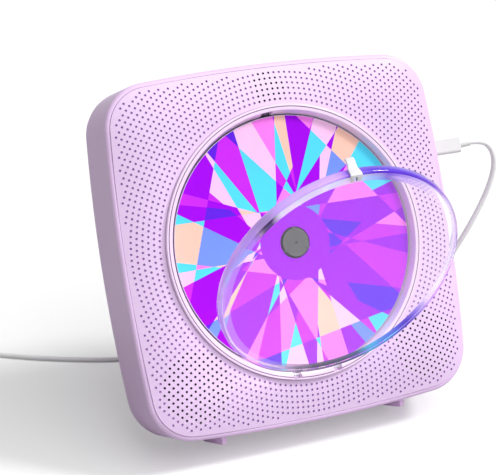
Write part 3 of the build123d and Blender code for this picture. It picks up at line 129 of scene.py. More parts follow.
LILAC = srgb(236, 204, 244)
case_mat = plastic("case_lilac", LILAC, rough=0.38, bump=0.012)
grille_mat = plastic("grille_lilac", srgb(234, 205, 242), rough=0.42, bump=0.010)
# painted shade: the holes' walls and bottoms take darker purples for the shade inside them
blind_hole_shade_mat = plastic("blind_hole_painted_shade", srgb(196, 150, 214), rough=0.6)
open_hole_shade_mat = plastic("open_hole_painted_shade", srgb(70, 40, 90), rough=0.7)
ring_mat = plastic("ring_lilac", srgb(245, 220, 248), rough=0.22, bump=0.004, coat=0.3)
# painted shade: the ring's groove takes a darker mauve for the shade in it
groove_shade_mat = plastic("ring_groove_painted_shade", srgb(150, 122, 158), rough=0.5)
well_mat = plastic("well_mauve", srgb(196, 172, 205), rough=0.5)
# painted light: the fins' lilac is lighter than the case's to stand in for front light the lamps give them too
# little
fin_painted_light_mat = plastic("fin_lilac_painted_light", srgb(246, 212, 252), rough=0.4)
stand_mat = plastic("stand_lilac", srgb(232, 206, 240), rough=0.42)
white_mat = plastic("white_plastic", srgb(234, 233, 238), rough=0.25, bump=0.003, coat=0.3)
cord_mat = plastic("cord_white", srgb(246, 246, 246), rough=0.45, bump=0.006, grain=0.3)
plug_mat = plastic("plug_white", srgb(231, 231, 231), rough=0.45, bump=0.006, grain=0.3)
# grey of the hub, also used as the painted shade in the clip's slot
grey_and_slot_shade_mat = plastic("hub_grey_and_slot_shade", srgb(90, 90, 92), rough=0.5, bump=0.01, specular=0.3)
black_mat = plastic("moulded_black", srgb(28, 28, 30), rough=0.5, bump=0.01)
rubber_mat = plastic("rubber_black", srgb(34, 33, 35), rough=0.75, bump=0.02)
steel_mat = plastic("plated_steel", srgb(190, 190, 194), rough=0.3, metal=1.0, bump=0.003, grain=0.15)
chrome_mat = plastic("polished_steel", srgb(214, 214, 218), rough=0.12, metal=1.0, bump=0.001)
brass_mat = plastic("turned_brass", srgb(206, 172, 96), rough=0.28, metal=1.0, bump=0.002)
nylon_mat = plastic("white_nylon", srgb(230, 230, 222), rough=0.5)
lens_mat = plastic("coated_lens", srgb(70, 90, 160), rough=0.05, bump=0.0005, coat=1.0)
board_mat = plastic("solder_mask", srgb(30, 92, 58), rough=0.4, bump=0.02, grain=1.2)
alu_mat = plastic("aluminium_can", srgb(200, 200, 204), rough=0.35, metal=1.0)
paper_mat = plastic("speaker_paper", srgb(48, 46, 46), rough=0.85, bump=0.04, grain=0.8)
cloth_mat = plastic("black_cloth", srgb(16, 15, 18), rough=0.95, bump=0.05, grain=0.35)


def clear_plastic(name, stops=None, mirror=0.55):
    """Clear moulded plastic. Stops paint colours round the cover that stand in for refracted disc print,
    reflections and shade: (share of a turn, colour, clearness).
    """
    mat = bpy.data.materials.new(name)
    mat.use_nodes = True
    tree = mat.node_tree
    shader = tree.nodes["Principled BSDF"]
    shader.inputs["Transmission Weight"].default_value = 1.0
    shader.inputs["IOR"].default_value = 1.45
    shader.inputs["Specular IOR Level"].default_value = mirror
    place = tree.nodes.new("ShaderNodeTexCoord")
    patches = tree.nodes.new("ShaderNodeTexNoise")
    patches.inputs["Scale"].default_value = 60
    patches.inputs["Detail"].default_value = 2
    tree.links.new(place.outputs["Object"], patches.inputs["Vector"])
    ramp = tree.nodes.new("ShaderNodeValToRGB")
    marks = ramp.color_ramp.elements
    if stops:
        centre = tree.nodes.new("ShaderNodeVectorMath")
        centre.operation = "SUBTRACT"
        centre.inputs[1].default_value = opened(0, 0, -LID_FRONT)
        tree.links.new(place.outputs["Object"], centre.inputs[0])
        upward = tree.nodes.new("ShaderNodeVectorMath")
        upward.operation = "DOT_PRODUCT"
        upward.inputs[1].default_value = (opened(0, 1, 0) - opened(0, 0, 0)).normalized()
        tree.links.new(centre.outputs["Vector"], upward.inputs[0])
        parts = tree.nodes.new("ShaderNodeSeparateXYZ")
        tree.links.new(centre.outputs["Vector"], parts.inputs["Vector"])
        turn = tree.nodes.new("ShaderNodeMath")
        turn.operation = "ARCTAN2"
        tree.links.new(parts.outputs["X"], turn.inputs[0])
        tree.links.new(upward.outputs["Value"], turn.inputs[1])
        share = tree.nodes.new("ShaderNodeMath")
        share.operation = "MULTIPLY_ADD"
        share.inputs[1].default_value = 1 / (2 * pi)
        share.inputs[2].default_value = 0.48
        tree.links.new(turn.outputs[0], share.inputs[0])
        uneven = tree.nodes.new("ShaderNodeMath")
        uneven.operation = "MULTIPLY_ADD"
        uneven.inputs[1].default_value = 0.04
        tree.links.new(patches.outputs["Fac"], uneven.inputs[0])
        tree.links.new(share.outputs[0], uneven.inputs[2])
        tree.links.new(uneven.outputs[0], ramp.inputs["Fac"])
        while len(marks) < len(stops):
            marks.new(0.5)
        for mark, (position, colour, clearness) in zip(marks, stops):
            mark.position = position
            mark.color = (*srgb(*colour)[:3], clearness)
        tree.links.new(ramp.outputs["Alpha"], shader.inputs["Transmission Weight"])
        # painted light: the cover's painted colours also glow faintly, brightening the rim where it is in
        # shade
        tree.links.new(ramp.outputs["Color"], shader.inputs["Emission Color"])
        shader.inputs["Emission Strength"].default_value = 0.14
    else:
        marks[0].color = (0.985, 0.98, 0.995, 1)
        marks[1].color = (1, 1, 1, 1)
        tree.links.new(patches.outputs["Fac"], ramp.inputs["Fac"])
    tree.links.new(ramp.outputs["Color"], shader.inputs["Base Color"])
    gloss = tree.nodes.new("ShaderNodeMapRange")
    gloss.inputs["To Min"].default_value = 0.01
    gloss.inputs["To Max"].default_value = 0.04
    tree.links.new(patches.outputs["Fac"], gloss.inputs["Value"])
    tree.links.new(gloss.outputs["Result"], shader.inputs["Roughness"])
    return mat


LID_R, LID_WALL, LID_SKIRT_D, LID_FRONT = 58.2, 1.5, 0.8, 3.7
lid_face_mat = clear_plastic("clear_face", mirror=0.06)
# painted refractions, reflections and shade by share of a turn: from the cover's foot by its left side to the
# top (0.5) and its right side
UPPER_PAINTED_LIGHT = ((0.21, (178, 146, 226), 0.5), (0.25, (214, 184, 250), 0.35), (0.34, (208, 174, 248), 0.35),
         (0.42, (206, 170, 250), 0.35), (0.46, (196, 156, 246), 0.4), (0.485, (128, 84, 222), 0.35),
         (0.51, (78, 28, 200), 0.16), (0.57, (88, 40, 202), 0.18), (0.61, (130, 84, 206), 0.35),
         (0.64, (196, 164, 224), 0.75), (0.69, (206, 190, 220), 0.85), (0.76, (190, 182, 208), 0.85),
         (0.80, (232, 222, 242), 0.95))
# front edge: painted shade at the foot, painted refractions of the violet, indigo, blue and cyan print round
# the rest
lid_front_mat = clear_plastic("clear_front_edge_painted_light", (
    (0.0, (112, 104, 128), 0.25), (0.05, (112, 104, 128), 0.25), (0.09, (136, 118, 146), 0.35),
    (0.13, (196, 166, 206), 0.5), (0.17, (182, 116, 222), 0.5), *UPPER_PAINTED_LIGHT, (0.835, (160, 134, 224), 0.5),
    (0.865, (86, 50, 202), 0.2), (0.895, (98, 120, 226), 0.2), (0.925, (84, 190, 224), 0.2),
    (0.95, (88, 98, 136), 0.2), (1.0, (112, 104, 128), 0.25)))
# skirt: mostly clear, with the same painted refractions, reflections and shade up its left side, top and right
# side
lid_skirt_mat = clear_plastic("clear_skirt_painted_light", (
    (0.0, (240, 238, 246), 0.95), (0.12, (238, 232, 248), 0.95), (0.17, (226, 206, 244), 0.85), *UPPER_PAINTED_LIGHT,
    (1.0, (240, 238, 246), 0.95)))
# line in the rim's inner corner: a painted dark shade line beside a painted white highlight line, with painted
# refractions of the print lower right
lid_painted_line_mat = clear_plastic("clear_painted_line", (
    (0.0, (96, 92, 108), 0.4), (0.05, (150, 140, 160), 0.7), (0.11, (226, 214, 236), 0.9),
    (0.24, (226, 214, 240), 0.85), (0.34, (196, 176, 226), 0.7), (0.36, (62, 44, 96), 0.3),
    (0.375, (62, 44, 96), 0.3), (0.39, (240, 240, 252), 0.3),
    (0.49, (240, 240, 252), 0.3), (0.53, (150, 110, 232), 0.5), (0.62, (236, 230, 246), 0.95),
    (0.82, (236, 230, 246), 0.95), (0.845, (150, 124, 224), 0.5), (0.865, (86, 50, 202), 0.25),
    (0.895, (98, 120, 226), 0.25), (0.925, (84, 190, 224), 0.25), (0.95, (88, 98, 136), 0.3),
    (1.0, (96, 92, 108), 0.3)))


# ------------------------------------------------------------------ mesh helpers
def piece(name, points, faces, body, nodes, materials, face_material=None, sharp=35):
    """Mesh object from points in metres, smooth except at sharp edges, riding on a body."""
    mesh = bpy.data.meshes.new(name)
    mesh.from_pydata([tuple(p) for p in points], [], faces)
    for mat in materials:
        mesh.materials.append(mat)
    if face_material:
        mesh.polygons.foreach_set("material_index", face_material)
    mesh.validate()
    mesh.update()
    bm = bmesh.new()
    bm.from_mesh(mesh)
    bmesh.ops.recalc_face_normals(bm, faces=bm.faces)
    bm.to_mesh(mesh)
    bm.free()
    mesh.polygons.foreach_set("use_smooth", [True] * len(mesh.polygons))
    mesh.set_sharp_from_angle(angle=radians(sharp))
    obj = bpy.data.objects.new(name, mesh)
    bpy.context.scene.collection.objects.link(obj)
    if nodes:
        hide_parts(*nodes)
    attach(obj, body)
    return obj


def circle(x, u, radius, steps):
    """Points round a circle of the face."""
    return [(x + radius * cos(2 * pi * k / steps), u + radius * sin(2 * pi * k / steps)) for k in range(steps)]


def lathe(profile, place, steps):
    """Closed outline of (radius, depth) points turned about the face's axis; returns points and faces."""
    points, faces = [], []
    count = len(profile)
    for k in range(steps):
        angle = 2 * pi * k / steps
        points += [place(r * cos(angle), r * sin(angle), d) for r, d in profile]
    for k in range(steps):
        a, b = k * count, ((k + 1) % steps) * count
        for j in range(count):
            n = (j + 1) % count
            faces.append((a + j, a + n, b + n, b + j))
    return points, faces


def arc(r, d, radius, start, end, steps):
    """Points of a rounded corner of a profile."""
    return [(r + radius * cos(radians(start + (end - start) * k / steps)),
             d + radius * sin(radians(start + (end - start) * k / steps))) for k in range(steps + 1)]


def modify(obj, kind, **settings):
    """Add a modifier and apply it at once."""
    modifier = obj.modifiers.new(kind.lower(), kind)
    for key, value in settings.items():
        setattr(modifier, key, value)
    with bpy.context.temp_override(object=obj, active_object=obj, selected_objects=[obj]):
        bpy.ops.object.modifier_apply(modifier=modifier.name)


# ------------------------------------------------------------------ power lead
LEAD_START = at(113.5, 35.1, 22.0) / MM
HANGING = [
    (7.7, 0.0, 0.0), (13.9, 0.0, -5.3), (16.1, -0.1, -13.9), (14.4, 0.2, -23.7),
    (10.1, 0.9, -35.1), (3.9, 1.8, -47.4), (-2.9, 3.6, -59.9), (-10.7, 7.0, -74.4),
    (-19.5, 12.7, -90.4), (-30.5, 21.2, -104.9), (-46.0, 31.7, -114.4),
]
LYING = [
    (-67.0, 42.7), (-93.5, 51.2), (-119.5, 56.5), (-144.0, 58.7), (-170.5, 62.7),
    (-198.9, 76.5), (-226.5, 94.2), (-251.5, 116.5),
]
ROUTE = [tuple(LEAD_START)]
ROUTE += [tuple(LEAD_START + Vector(step)) for step in HANGING]
ROUTE += [(LEAD_START.x + x, LEAD_START.y + y, 1.4) for x, y in LYING]
CORD_R, COIL_IN, COIL_OUT = 1.35, 13.65, 16.35
LAYERS = (1.4, 4.1, 6.8)
last = (Vector(ROUTE[-1]) - Vector(ROUTE[-2])).normalized()
coil_mid = Vector(ROUTE[-1]) + Vector((-last.y, last.x, 0)) * COIL_OUT
coil_start = math.degrees(atan2(ROUTE[-1][1] - coil_mid.y, ROUTE[-1][0] - coil_mid.x))
COIL_END = 1548.0
# (angle, radius, height): between two of these the lead moves evenly from one turn to the next
COIL_PLAN = [
    (coil_start, COIL_OUT, LAYERS[0]), (350, COIL_OUT, LAYERS[0]), (408, COIL_IN, LAYERS[0]),
    (655, COIL_IN, LAYERS[0]), (712, COIL_IN, LAYERS[1]), (955, COIL_IN, LAYERS[1]),
    (1015, COIL_OUT, LAYERS[1]), (1255, COIL_OUT, LAYERS[1]), (1312, COIL_OUT, LAYERS[2]),
    (COIL_END, COIL_OUT, LAYERS[2]),
]
COIL_STEP = 24.0
coil_points = []
angle = coil_start + COIL_STEP
while angle < COIL_END - COIL_STEP / 2:
    for (a0, r0, z0), (a1, r1, z1) in zip(COIL_PLAN, COIL_PLAN[1:]):
        if a0 <= angle <= a1:
            share = (angle - a0) / (a1 - a0)
            radius = (r0 + (r1 - r0) * share) / cos(radians(COIL_STEP / 2))
            coil_points.append((coil_mid.x + radius * cos(radians(angle)),
                                coil_mid.y + radius * sin(radians(angle)), z0 + (z1 - z0) * share))
            break
    angle += COIL_STEP
out_turn = radians(COIL_END)
out_dir = Vector((-sin(out_turn), cos(out_turn), 0))
coil_exit = coil_mid + Vector((cos(out_turn), sin(out_turn), 0)) * COIL_OUT
TAIL = [
    (coil_exit.x, coil_exit.y, 6.8),
    (coil_exit.x + out_dir.x * 12, coil_exit.y + out_dir.y * 12, 6.2),
    (coil_exit.x + out_dir.x * 24 + 0.6, coil_exit.y + out_dir.y * 24 - 1.0, 4.2),
    (coil_exit.x + out_dir.x * 36 + 1.4, coil_exit.y + out_dir.y * 36 - 2.6, 3.9),
]
lead_points = [Vector(p) * MM for p in ROUTE + coil_points + TAIL]
lead_curve = bpy.data.curves.new("power_lead", "CURVE")
lead_curve.dimensions = "3D"
lead_curve.bevel_depth = CORD_R * MM
lead_curve.bevel_resolution = 5
lead_curve.resolution_u = 8
lead_curve.use_fill_caps = True
spline = lead_curve.splines.new("NURBS")
spline.points.add(len(lead_points) - 1)
for point, target in zip(spline.points, lead_points):
    point.co = (*target, 1)
spline.order_u = 3
spline.use_endpoint_u = True
lead = bpy.data.objects.new("power_lead", lead_curve)
bpy.context.scene.collection.objects.link(lead)
lead_curve.materials.append(cord_mat)
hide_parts("power_cord", "cord_coil", "cord_tail")
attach(lead, "case")

# ------------------------------------------------------------------ perforated front
SEAM_INSET, SEAM_GAP, SEAM_SHOWN, PANEL_T, RING_HOLE = 2.15, 0.3, 0.16, 1.2, 65.0
HOLE_R, HOLE_RING, HOLE_PITCH, HOLE_ARC, HOLE_SIDES = 0.575, 67.5, 2.59, 2.69, 12
HOLE_START, HOLE_MARGIN, BLIND_D = radians(180.5), 1.4, 0.7
FIELD_R = 1.42 * HALF           # past the corners
RING_STEPS = 300
DOME_POWER, DOME_FLAT, DOME_RUN, DOME_SQUARE, DOME_CUBE = 8.3, 59.4, 20, 3.315, 0.432
CLUSTERS = ((-59.5, -58.5, 16.6), (59.5, -58.5, 16.6), (-1.3, 73.1, 8.6))


def dome(x, u):
    """Fall of the face behind its flat middle."""
    across = (abs(x) ** DOME_POWER + abs(u) ** DOME_POWER) ** (1 / DOME_POWER)
    run = max(0.0, across - DOME_FLAT) / DOME_RUN
    return DOME_SQUARE * run**2 - DOME_CUBE * run**3


def corner_middle(bow, corner, shift):
    """Distance of the middle of a corner's arc from the face's two middle lines."""
    return (-2 * shift + sqrt(4 * shift**2 - 8 * (shift**2 - (bow - corner) ** 2))) / 4


def outline(inset, spacing=1.2):
    """Points round the case's outline drawn in by an inset."""
    half, corner = HALF - inset, CORNER_R - inset
    bow = SIDE_R - inset
    shift = bow - half
    mid = corner_middle(bow, corner, shift)
    reach = atan2(mid, mid + shift)
    points = []
    for quarter in range(4):
        turn = quarter * pi / 2
        side_steps = round(2 * reach * bow / spacing)
        sweep = pi / 2 - 2 * reach
        corner_steps = round(sweep * corner / spacing)
        run = [(-shift + bow * cos(-reach + 2 * reach * k / side_steps),
                bow * sin(-reach + 2 * reach * k / side_steps)) for k in range(side_steps)]
        run += [(mid + corner * cos(reach + sweep * k / corner_steps),
                 mid + corner * sin(reach + sweep * k / corner_steps)) for k in range(corner_steps)]
        points += [(x * cos(turn) - y * sin(turn), x * sin(turn) + y * cos(turn)) for x, y in run]
    return points


def edge_distance(x, u):
    """How far inside the case's outline a point of the face lies."""
    shift = SIDE_R - HALF
    mid = corner_middle(SIDE_R, CORNER_R, shift)
    x, u = abs(x), abs(u)
    distance = min(SIDE_R - hypot(x + shift, u), SIDE_R - hypot(x, u + shift))
    slope = atan2(mid, mid + shift)
    if x > mid and u > mid and slope < atan2(u - mid, x - mid) < pi / 2 - slope:
        distance = min(distance, CORNER_R - hypot(x - mid, u - mid))
    return distance


holes = []
ring_r, ring_no = HOLE_RING, 0
while ring_r < FIELD_R:
    count = round(2 * pi * ring_r / HOLE_ARC)
    for step in range(count):
        turn = HOLE_START + 2 * pi * (step + 0.5 * (ring_no % 2)) / count
        x, u = ring_r * cos(turn), ring_r * sin(turn)
        if edge_distance(x, u) > SEAM_INSET + SEAM_GAP + HOLE_MARGIN + HOLE_R:
            is_open = any(hypot(x - cx, u - cu) < cr for cx, cu, cr in CLUSTERS)
            holes.append((x, u, is_open))
    ring_r += HOLE_PITCH
    ring_no += 1

flat, loop_of, edges = [], [], []


def add_loop(points, number):
    """Add a closed loop of the flat drawing; returns the numbers of its points."""
    first = len(flat)
    for k, point in enumerate(points):
        flat.append(Vector(point))
        loop_of.append(number)
        edges.append((first + k, first + (k + 1) % len(points)))
    return list(range(first, first + len(points)))


rim_loop = add_loop(outline(SEAM_INSET + SEAM_SHOWN), -1)
ring_loop = add_loop(circle(0, 0, RING_HOLE, RING_STEPS), 0)
hole_loops = []
for number, (x, u, _) in enumerate(holes, 1):
    hole_loops.append(add_loop(circle(x, u, HOLE_R, HOLE_SIDES), number))
out = delaunay_2d_cdt(flat, edges, [], 0, 1e-7, False)
if len(out[0]) != len(flat):
    raise RuntimeError("the triangulation of the perforated front merged points")
skin = [tuple(f) for f in out[2]
        if not (loop_of[f[0]] == loop_of[f[1]] == loop_of[f[2]] and loop_of[f[0]] >= 0)]
falls = [dome(p.x, p.y) for p in flat]
points = [at(p.x, p.y, fall) for p, fall in zip(flat, falls)]
panel_foot = max(falls[i] for i in rim_loop) + PANEL_T
faces = list(skin)
paint = [0] * len(skin)


def wall(loop, depths, colour):
    """Wall from a loop of the skin back to the given depths; returns its far loop."""
    first = len(points)
    for i, depth in zip(loop, depths):
        points.append(at(flat[i].x, flat[i].y, depth))
    for k in range(len(loop)):
        n = (k + 1) % len(loop)
        faces.append((loop[k], loop[n], first + n, first + k))
        paint.append(colour)
    return list(range(first, len(points)))


wall(rim_loop, [panel_foot] * len(rim_loop), 0)
wall(ring_loop, [falls[i] + PANEL_T for i in ring_loop], 0)
# hole walls and blind bottoms carry the painted shade
for loop, (_, _, is_open) in zip(hole_loops, holes):
    colour = 2 if is_open else 1
    bottom = wall(loop, [falls[i] + (PANEL_T if is_open else BLIND_D) for i in loop], colour)
    if not is_open:
        faces.append(tuple(bottom))
        paint.append(1)
piece("perforated_front", points, faces, "case", ["grille_panel"],
      [grille_mat, blind_hole_shade_mat, open_hole_shade_mat], paint)

# ------------------------------------------------------------------ trim ring
RING_R, RING_PROUD, RING_LAND, RING_THROAT, RING_FOOT = 64.85, 1.7, 61.9, 60.5, 3.8
RING_SHELF, THROAT_D = 1.5, 2.3
GROOVE_IN, GROOVE_OUT, GROOVE_DEEP, GROOVE_DRAFT = 63.45, 63.85, 0.4, 0.05
ring_profile = [(RING_THROAT, RING_FOOT), (RING_THROAT, THROAT_D)]
ring_profile += arc(RING_LAND + 0.25, -RING_PROUD + 0.3, 0.3, 200, 270, 5)
ring_profile += [(GROOVE_IN, -RING_PROUD), (GROOVE_IN + GROOVE_DRAFT, -RING_PROUD + GROOVE_DEEP),
                 (GROOVE_OUT - GROOVE_DRAFT, -RING_PROUD + GROOVE_DEEP), (GROOVE_OUT, -RING_PROUD)]
ring_profile += arc(RING_R - 0.5, -RING_PROUD + 0.5, 0.5, 270, 360, 6)
ring_profile += [(RING_R, RING_SHELF), (RING_LAND, RING_SHELF), (RING_LAND, RING_FOOT)]
ring_points, ring_faces = lathe(ring_profile, at, 256)
first = ring_profile.index((GROOVE_IN, -RING_PROUD))
wide = len(ring_profile)
# the groove's faces carry the painted shade
ring_paint = []
for face in ring_faces:
    columns = sorted({corner % wide for corner in face})
    ring_paint.append(1 if columns[0] >= first and columns[-1] <= first + 3 else 0)
ring = piece("trim_ring", ring_points, ring_faces, "case", ["well_ring"], [ring_mat, groove_shade_mat],
             ring_paint)


def cutter(name, x0, x1, u0, u1, d0, d1, turn):
    """Box for a notch, turned about the middle of the face."""
    corners = [at(x * cos(turn) - u * sin(turn), x * sin(turn) + u * cos(turn), d)
               for x in (x0, x1) for u in (u0, u1) for d in (d0, d1)]
    mesh = bpy.data.meshes.new(name)
    mesh.from_pydata([tuple(c) for c in corners], [], [
        (0, 2, 3, 1), (4, 5, 7, 6), (0, 1, 5, 4), (2, 6, 7, 3), (0, 4, 6, 2), (1, 3, 7, 5)])
    obj = bpy.data.objects.new(name, mesh)
    bpy.context.scene.collection.objects.link(obj)
    return obj


CLIP_TURN = radians(4.5)
LUG_NOTCH, CLIP_NOTCH = (-63.2, -58, -4, 2.3), (59, 61.8, -3, 5)
for room in ((-12.6, -8.4, *LUG_NOTCH, 0.0), (8.4, 12.6, *LUG_NOTCH, 0.0),
             (-2.85, 2.85, *CLIP_NOTCH, CLIP_TURN)):
    notch = cutter("notch", *room)
    modify(ring, "BOOLEAN", operation="DIFFERENCE", object=notch, solver="EXACT")
    bpy.data.objects.remove(notch)

# ------------------------------------------------------------------ printed disc: a generic pinwheel
DISC_R, DISC_BORE, DISC_T, DISC_TOP, PRINT_R, PLAIN_R = 60.0, 7.5, 1.2, 2.0, 59.7, 17.8
INKS = [
    ("violet", (164, 4, 236)), ("magenta", (204, 44, 246)), ("pink", (252, 128, 240)),
    ("cyan", (86, 218, 252)), ("periwinkle", (118, 148, 250)), ("blush", (252, 198, 240)),
    ("peach", (250, 200, 182)), ("indigo", (100, 34, 226)),
]
ink_mats = [plastic(f"ink_{name}", srgb(*colour), rough=0.45, mottle=0.05, bump=0.002, coat=0.02,
                    specular=0.05, blotch=9) for name, colour in INKS]
clear_edge_mat = plastic("disc_edge", srgb(214, 206, 226), rough=0.12, metal=0.4, bump=0.001, coat=1.0)
bm = bmesh.new()
rings = (PLAIN_R, 28.0, 40.0, 50.0, PRINT_R)
steps = 180
grid = [[bm.verts.new((r * cos(2 * pi * k / steps), r * sin(2 * pi * k / steps), 0)) for k in range(steps)]
        for r in rings]
for inner, outer in zip(grid, grid[1:]):
    for k in range(steps):
        n = (k + 1) % steps
        bm.faces.new((inner[k], outer[k], outer[n], inner[n]))
TANGENTS = [(360 / 27 * k + 4 * sin(5.1 * k), 5.0 + 11 * (k * 5 % 4) / 3) for k in range(27)]
CHORDS = [(40 + 120 * k, 46.0) for k in range(3)]
ORDER = (0, 2, 3, 0, 5, 1, 4, 0, 6, 1, 2, 7, 3, 0, 5, 1, 0)
for turn, distance in TANGENTS + CHORDS:
    normal = Vector((cos(radians(turn)), sin(radians(turn)), 0))
    bmesh.ops.bisect_plane(bm, geom=bm.verts[:] + bm.edges[:] + bm.faces[:], dist=1e-5,
                           plane_co=normal * distance, plane_no=normal)
bm.faces.ensure_lookup_table()
print_points = [tuple(v.co) for v in bm.verts]
bm.verts.index_update()
print_faces, inks = [], []
for face in bm.faces:
    mid = face.calc_center_median()
    outside = [k for k, (turn, distance) in enumerate(TANGENTS)
               if mid.x * cos(radians(turn)) + mid.y * sin(radians(turn)) > distance]
    beyond = [k for k, (turn, distance) in enumerate(CHORDS)
              if mid.x * cos(radians(turn)) + mid.y * sin(radians(turn)) > distance]
    key = sum((3 * k + 1) for k in outside) * 5 + len(outside) * 3 + len(beyond) * 2
    print_faces.append(tuple(v.index for v in face.verts))
    inks.append(ORDER[key % len(ORDER)])
bm.free()
disc_points = [at(x, u, DISC_TOP) for x, u, _ in print_points]
disc_faces, disc_paint = list(print_faces), list(inks)
disc_profile = [(PLAIN_R, DISC_TOP), (7.8, DISC_TOP), (DISC_BORE, DISC_TOP), (DISC_BORE, DISC_TOP + DISC_T),
                (DISC_R, DISC_TOP + DISC_T), (DISC_R, DISC_TOP + 0.15), (DISC_R - 0.15, DISC_TOP),
                (PRINT_R, DISC_TOP)]
PLAIN_ROWS = 3                  # the unprinted middle and the wall of the bore, in the first ink
base = len(disc_points)
for k in range(steps):
    turn = 2 * pi * k / steps
    disc_points += [at(r * cos(turn), r * sin(turn), d) for r, d in disc_profile]
for k in range(steps):
    a, b = base + k * len(disc_profile), base + ((k + 1) % steps) * len(disc_profile)
    for j in range(len(disc_profile) - 1):
        disc_faces.append((a + j, a + j + 1, b + j + 1, b + j))
        disc_paint.append(0 if j < PLAIN_ROWS else len(INKS))
piece("printed_disc", disc_points, disc_faces, "disc_rotor", ["compact_disc"],
      ink_mats + [clear_edge_mat], disc_paint)

# ------------------------------------------------------------------ dust cover
CROWN, CROWN_R = 0.35, 57
# the last two face radii bound the painted shade-and-highlight line
FACE_RADII, PAINTED_LINE_RADII = (10, 20, 30, 40, 48, 53), (55.9, 56.75)
lid_profile = [(0.0, -LID_FRONT)]
lid_profile += [(r, -LID_FRONT + CROWN * (r / CROWN_R) ** 4) for r in FACE_RADII + PAINTED_LINE_RADII]
lid_profile += arc(LID_R - 1.2, -LID_FRONT + CROWN + 1.2, 1.2, 275, 360, 8)
lid_profile += [(LID_R, LID_SKIRT_D - 0.3), (LID_R - 0.3, LID_SKIRT_D), (LID_R - LID_WALL + 0.3, LID_SKIRT_D),
                (LID_R - LID_WALL, LID_SKIRT_D - 0.3)]
lid_profile += arc(LID_R - LID_WALL - 0.6, -LID_FRONT + CROWN + 2.1, 0.6, 360, 275, 5)
lid_profile += [(r, -LID_FRONT + LID_WALL + CROWN * (r / CROWN_R) ** 4) for r in FACE_RADII[::-1]]
lid_profile += [(0.0, -LID_FRONT + LID_WALL)]
LID_STEPS = 200
FRONT_EDGE_D = -2.1
PAINTED_LINE_DEPTHS = (-2.0, -1.2)       # depths of the painted shade-and-highlight line in the rim's inner corner
lid_points, lid_faces, lid_paint = [], [], []
inner_profile = lid_profile[1:-1]
for k in range(LID_STEPS):
    turn = 2 * pi * k / LID_STEPS
    lid_points += [opened(r * cos(turn), r * sin(turn), d) for r, d in inner_profile]
tips = [len(lid_points), len(lid_points) + 1]
lid_points += [opened(0, 0, lid_profile[0][1]), opened(0, 0, lid_profile[-1][1])]
width = len(inner_profile)
for k in range(LID_STEPS):
    a, b = k * width, ((k + 1) % LID_STEPS) * width
    for j in range(width - 1):
        lid_faces.append((a + j, b + j, b + j + 1, a + j + 1))
        reach, height = inner_profile[j + 1][0], inner_profile[j + 1][1]
        inside = min(reach, inner_profile[j][0]) < LID_R - 1.25
        # faces of the painted shade-and-highlight line
        on_painted_line = reach < LID_R - 1.4 and PAINTED_LINE_DEPTHS[0] < height < PAINTED_LINE_DEPTHS[1]
        if inner_profile[j][0] in PAINTED_LINE_RADII or on_painted_line:
            lid_paint.append(3)
        else:
            lid_paint.append(0 if inside else 1 if height < FRONT_EDGE_D else 2)
    lid_faces.append((tips[0], b, a))
    lid_faces.append((tips[1], a + width - 1, b + width - 1))
    lid_paint += [0, 0]
cover = piece("clear_cover", lid_points, lid_faces, "lid", ["dust_cover"],
              [lid_face_mat, lid_front_mat, lid_skirt_mat, lid_painted_line_mat], lid_paint, sharp=60)

# the cover's two lugs, each a plate rounded about the pin
LUG_X, LUG_W, LUG_R = 10.5, 3.4, 1.6
lug_points, lug_faces = [], []
for side in (-1, 1):
    outer_ring = [(PIVOT_U + LUG_R * cos(radians(a)), PIVOT_D + LUG_R * sin(radians(a)))
                  for a in range(90, 271, 15)]
    outer_ring += [(-57.6, PIVOT_D - LUG_R), (-56.9, PIVOT_D - LUG_R + 0.5), (-56.9, PIVOT_D + 0.3),
                   (-58.6, PIVOT_D + LUG_R)]
    start = len(lug_points)
    for x in (side * LUG_X - LUG_W / 2, side * LUG_X + LUG_W / 2):
        lug_points += [opened(x, u, d) for u, d in outer_ring]
    count = len(outer_ring)
    for k in range(count):
        n = (k + 1) % count
        lug_faces.append((start + k, start + n, start + count + n, start + count + k))
    lug_faces.append(tuple(range(start, start + count)))
    lug_faces.append(tuple(range(start + 2 * count - 1, start + count - 1, -1)))
lugs = piece("cover_lugs", lug_points, lug_faces, "lid", [], [lid_face_mat])
modify(lugs, "BEVEL", width=0.0002, segments=2)
for clear in (cover, lugs):
    clear.visible_shadow = False        # clear plastic lets the light through

# ------------------------------------------------------------------ the cover's clip
CLIP = [  # along the clip: height up the cover, depth, half width
    (55.3, -4.3, 2.45), (56.4, -4.33, 2.75), (57.6, -4.33, 2.8), (58.45, -4.2, 2.75), (58.75, -3.6, 2.7),
    (58.8, -2.4, 2.6), (58.8, -1.0, 2.4), (59.1, 0.2, 2.2), (60.1, 1.2, 2.05), (60.8, 2.1, 2.0),
    (60.95, 3.1, 2.05), (60.95, 4.1, 2.1),
]
CLIP_T = 1.0


def on_clip(x, u, d):
    return opened(x * cos(CLIP_TURN) - u * sin(CLIP_TURN), x * sin(CLIP_TURN) + u * cos(CLIP_TURN), d)


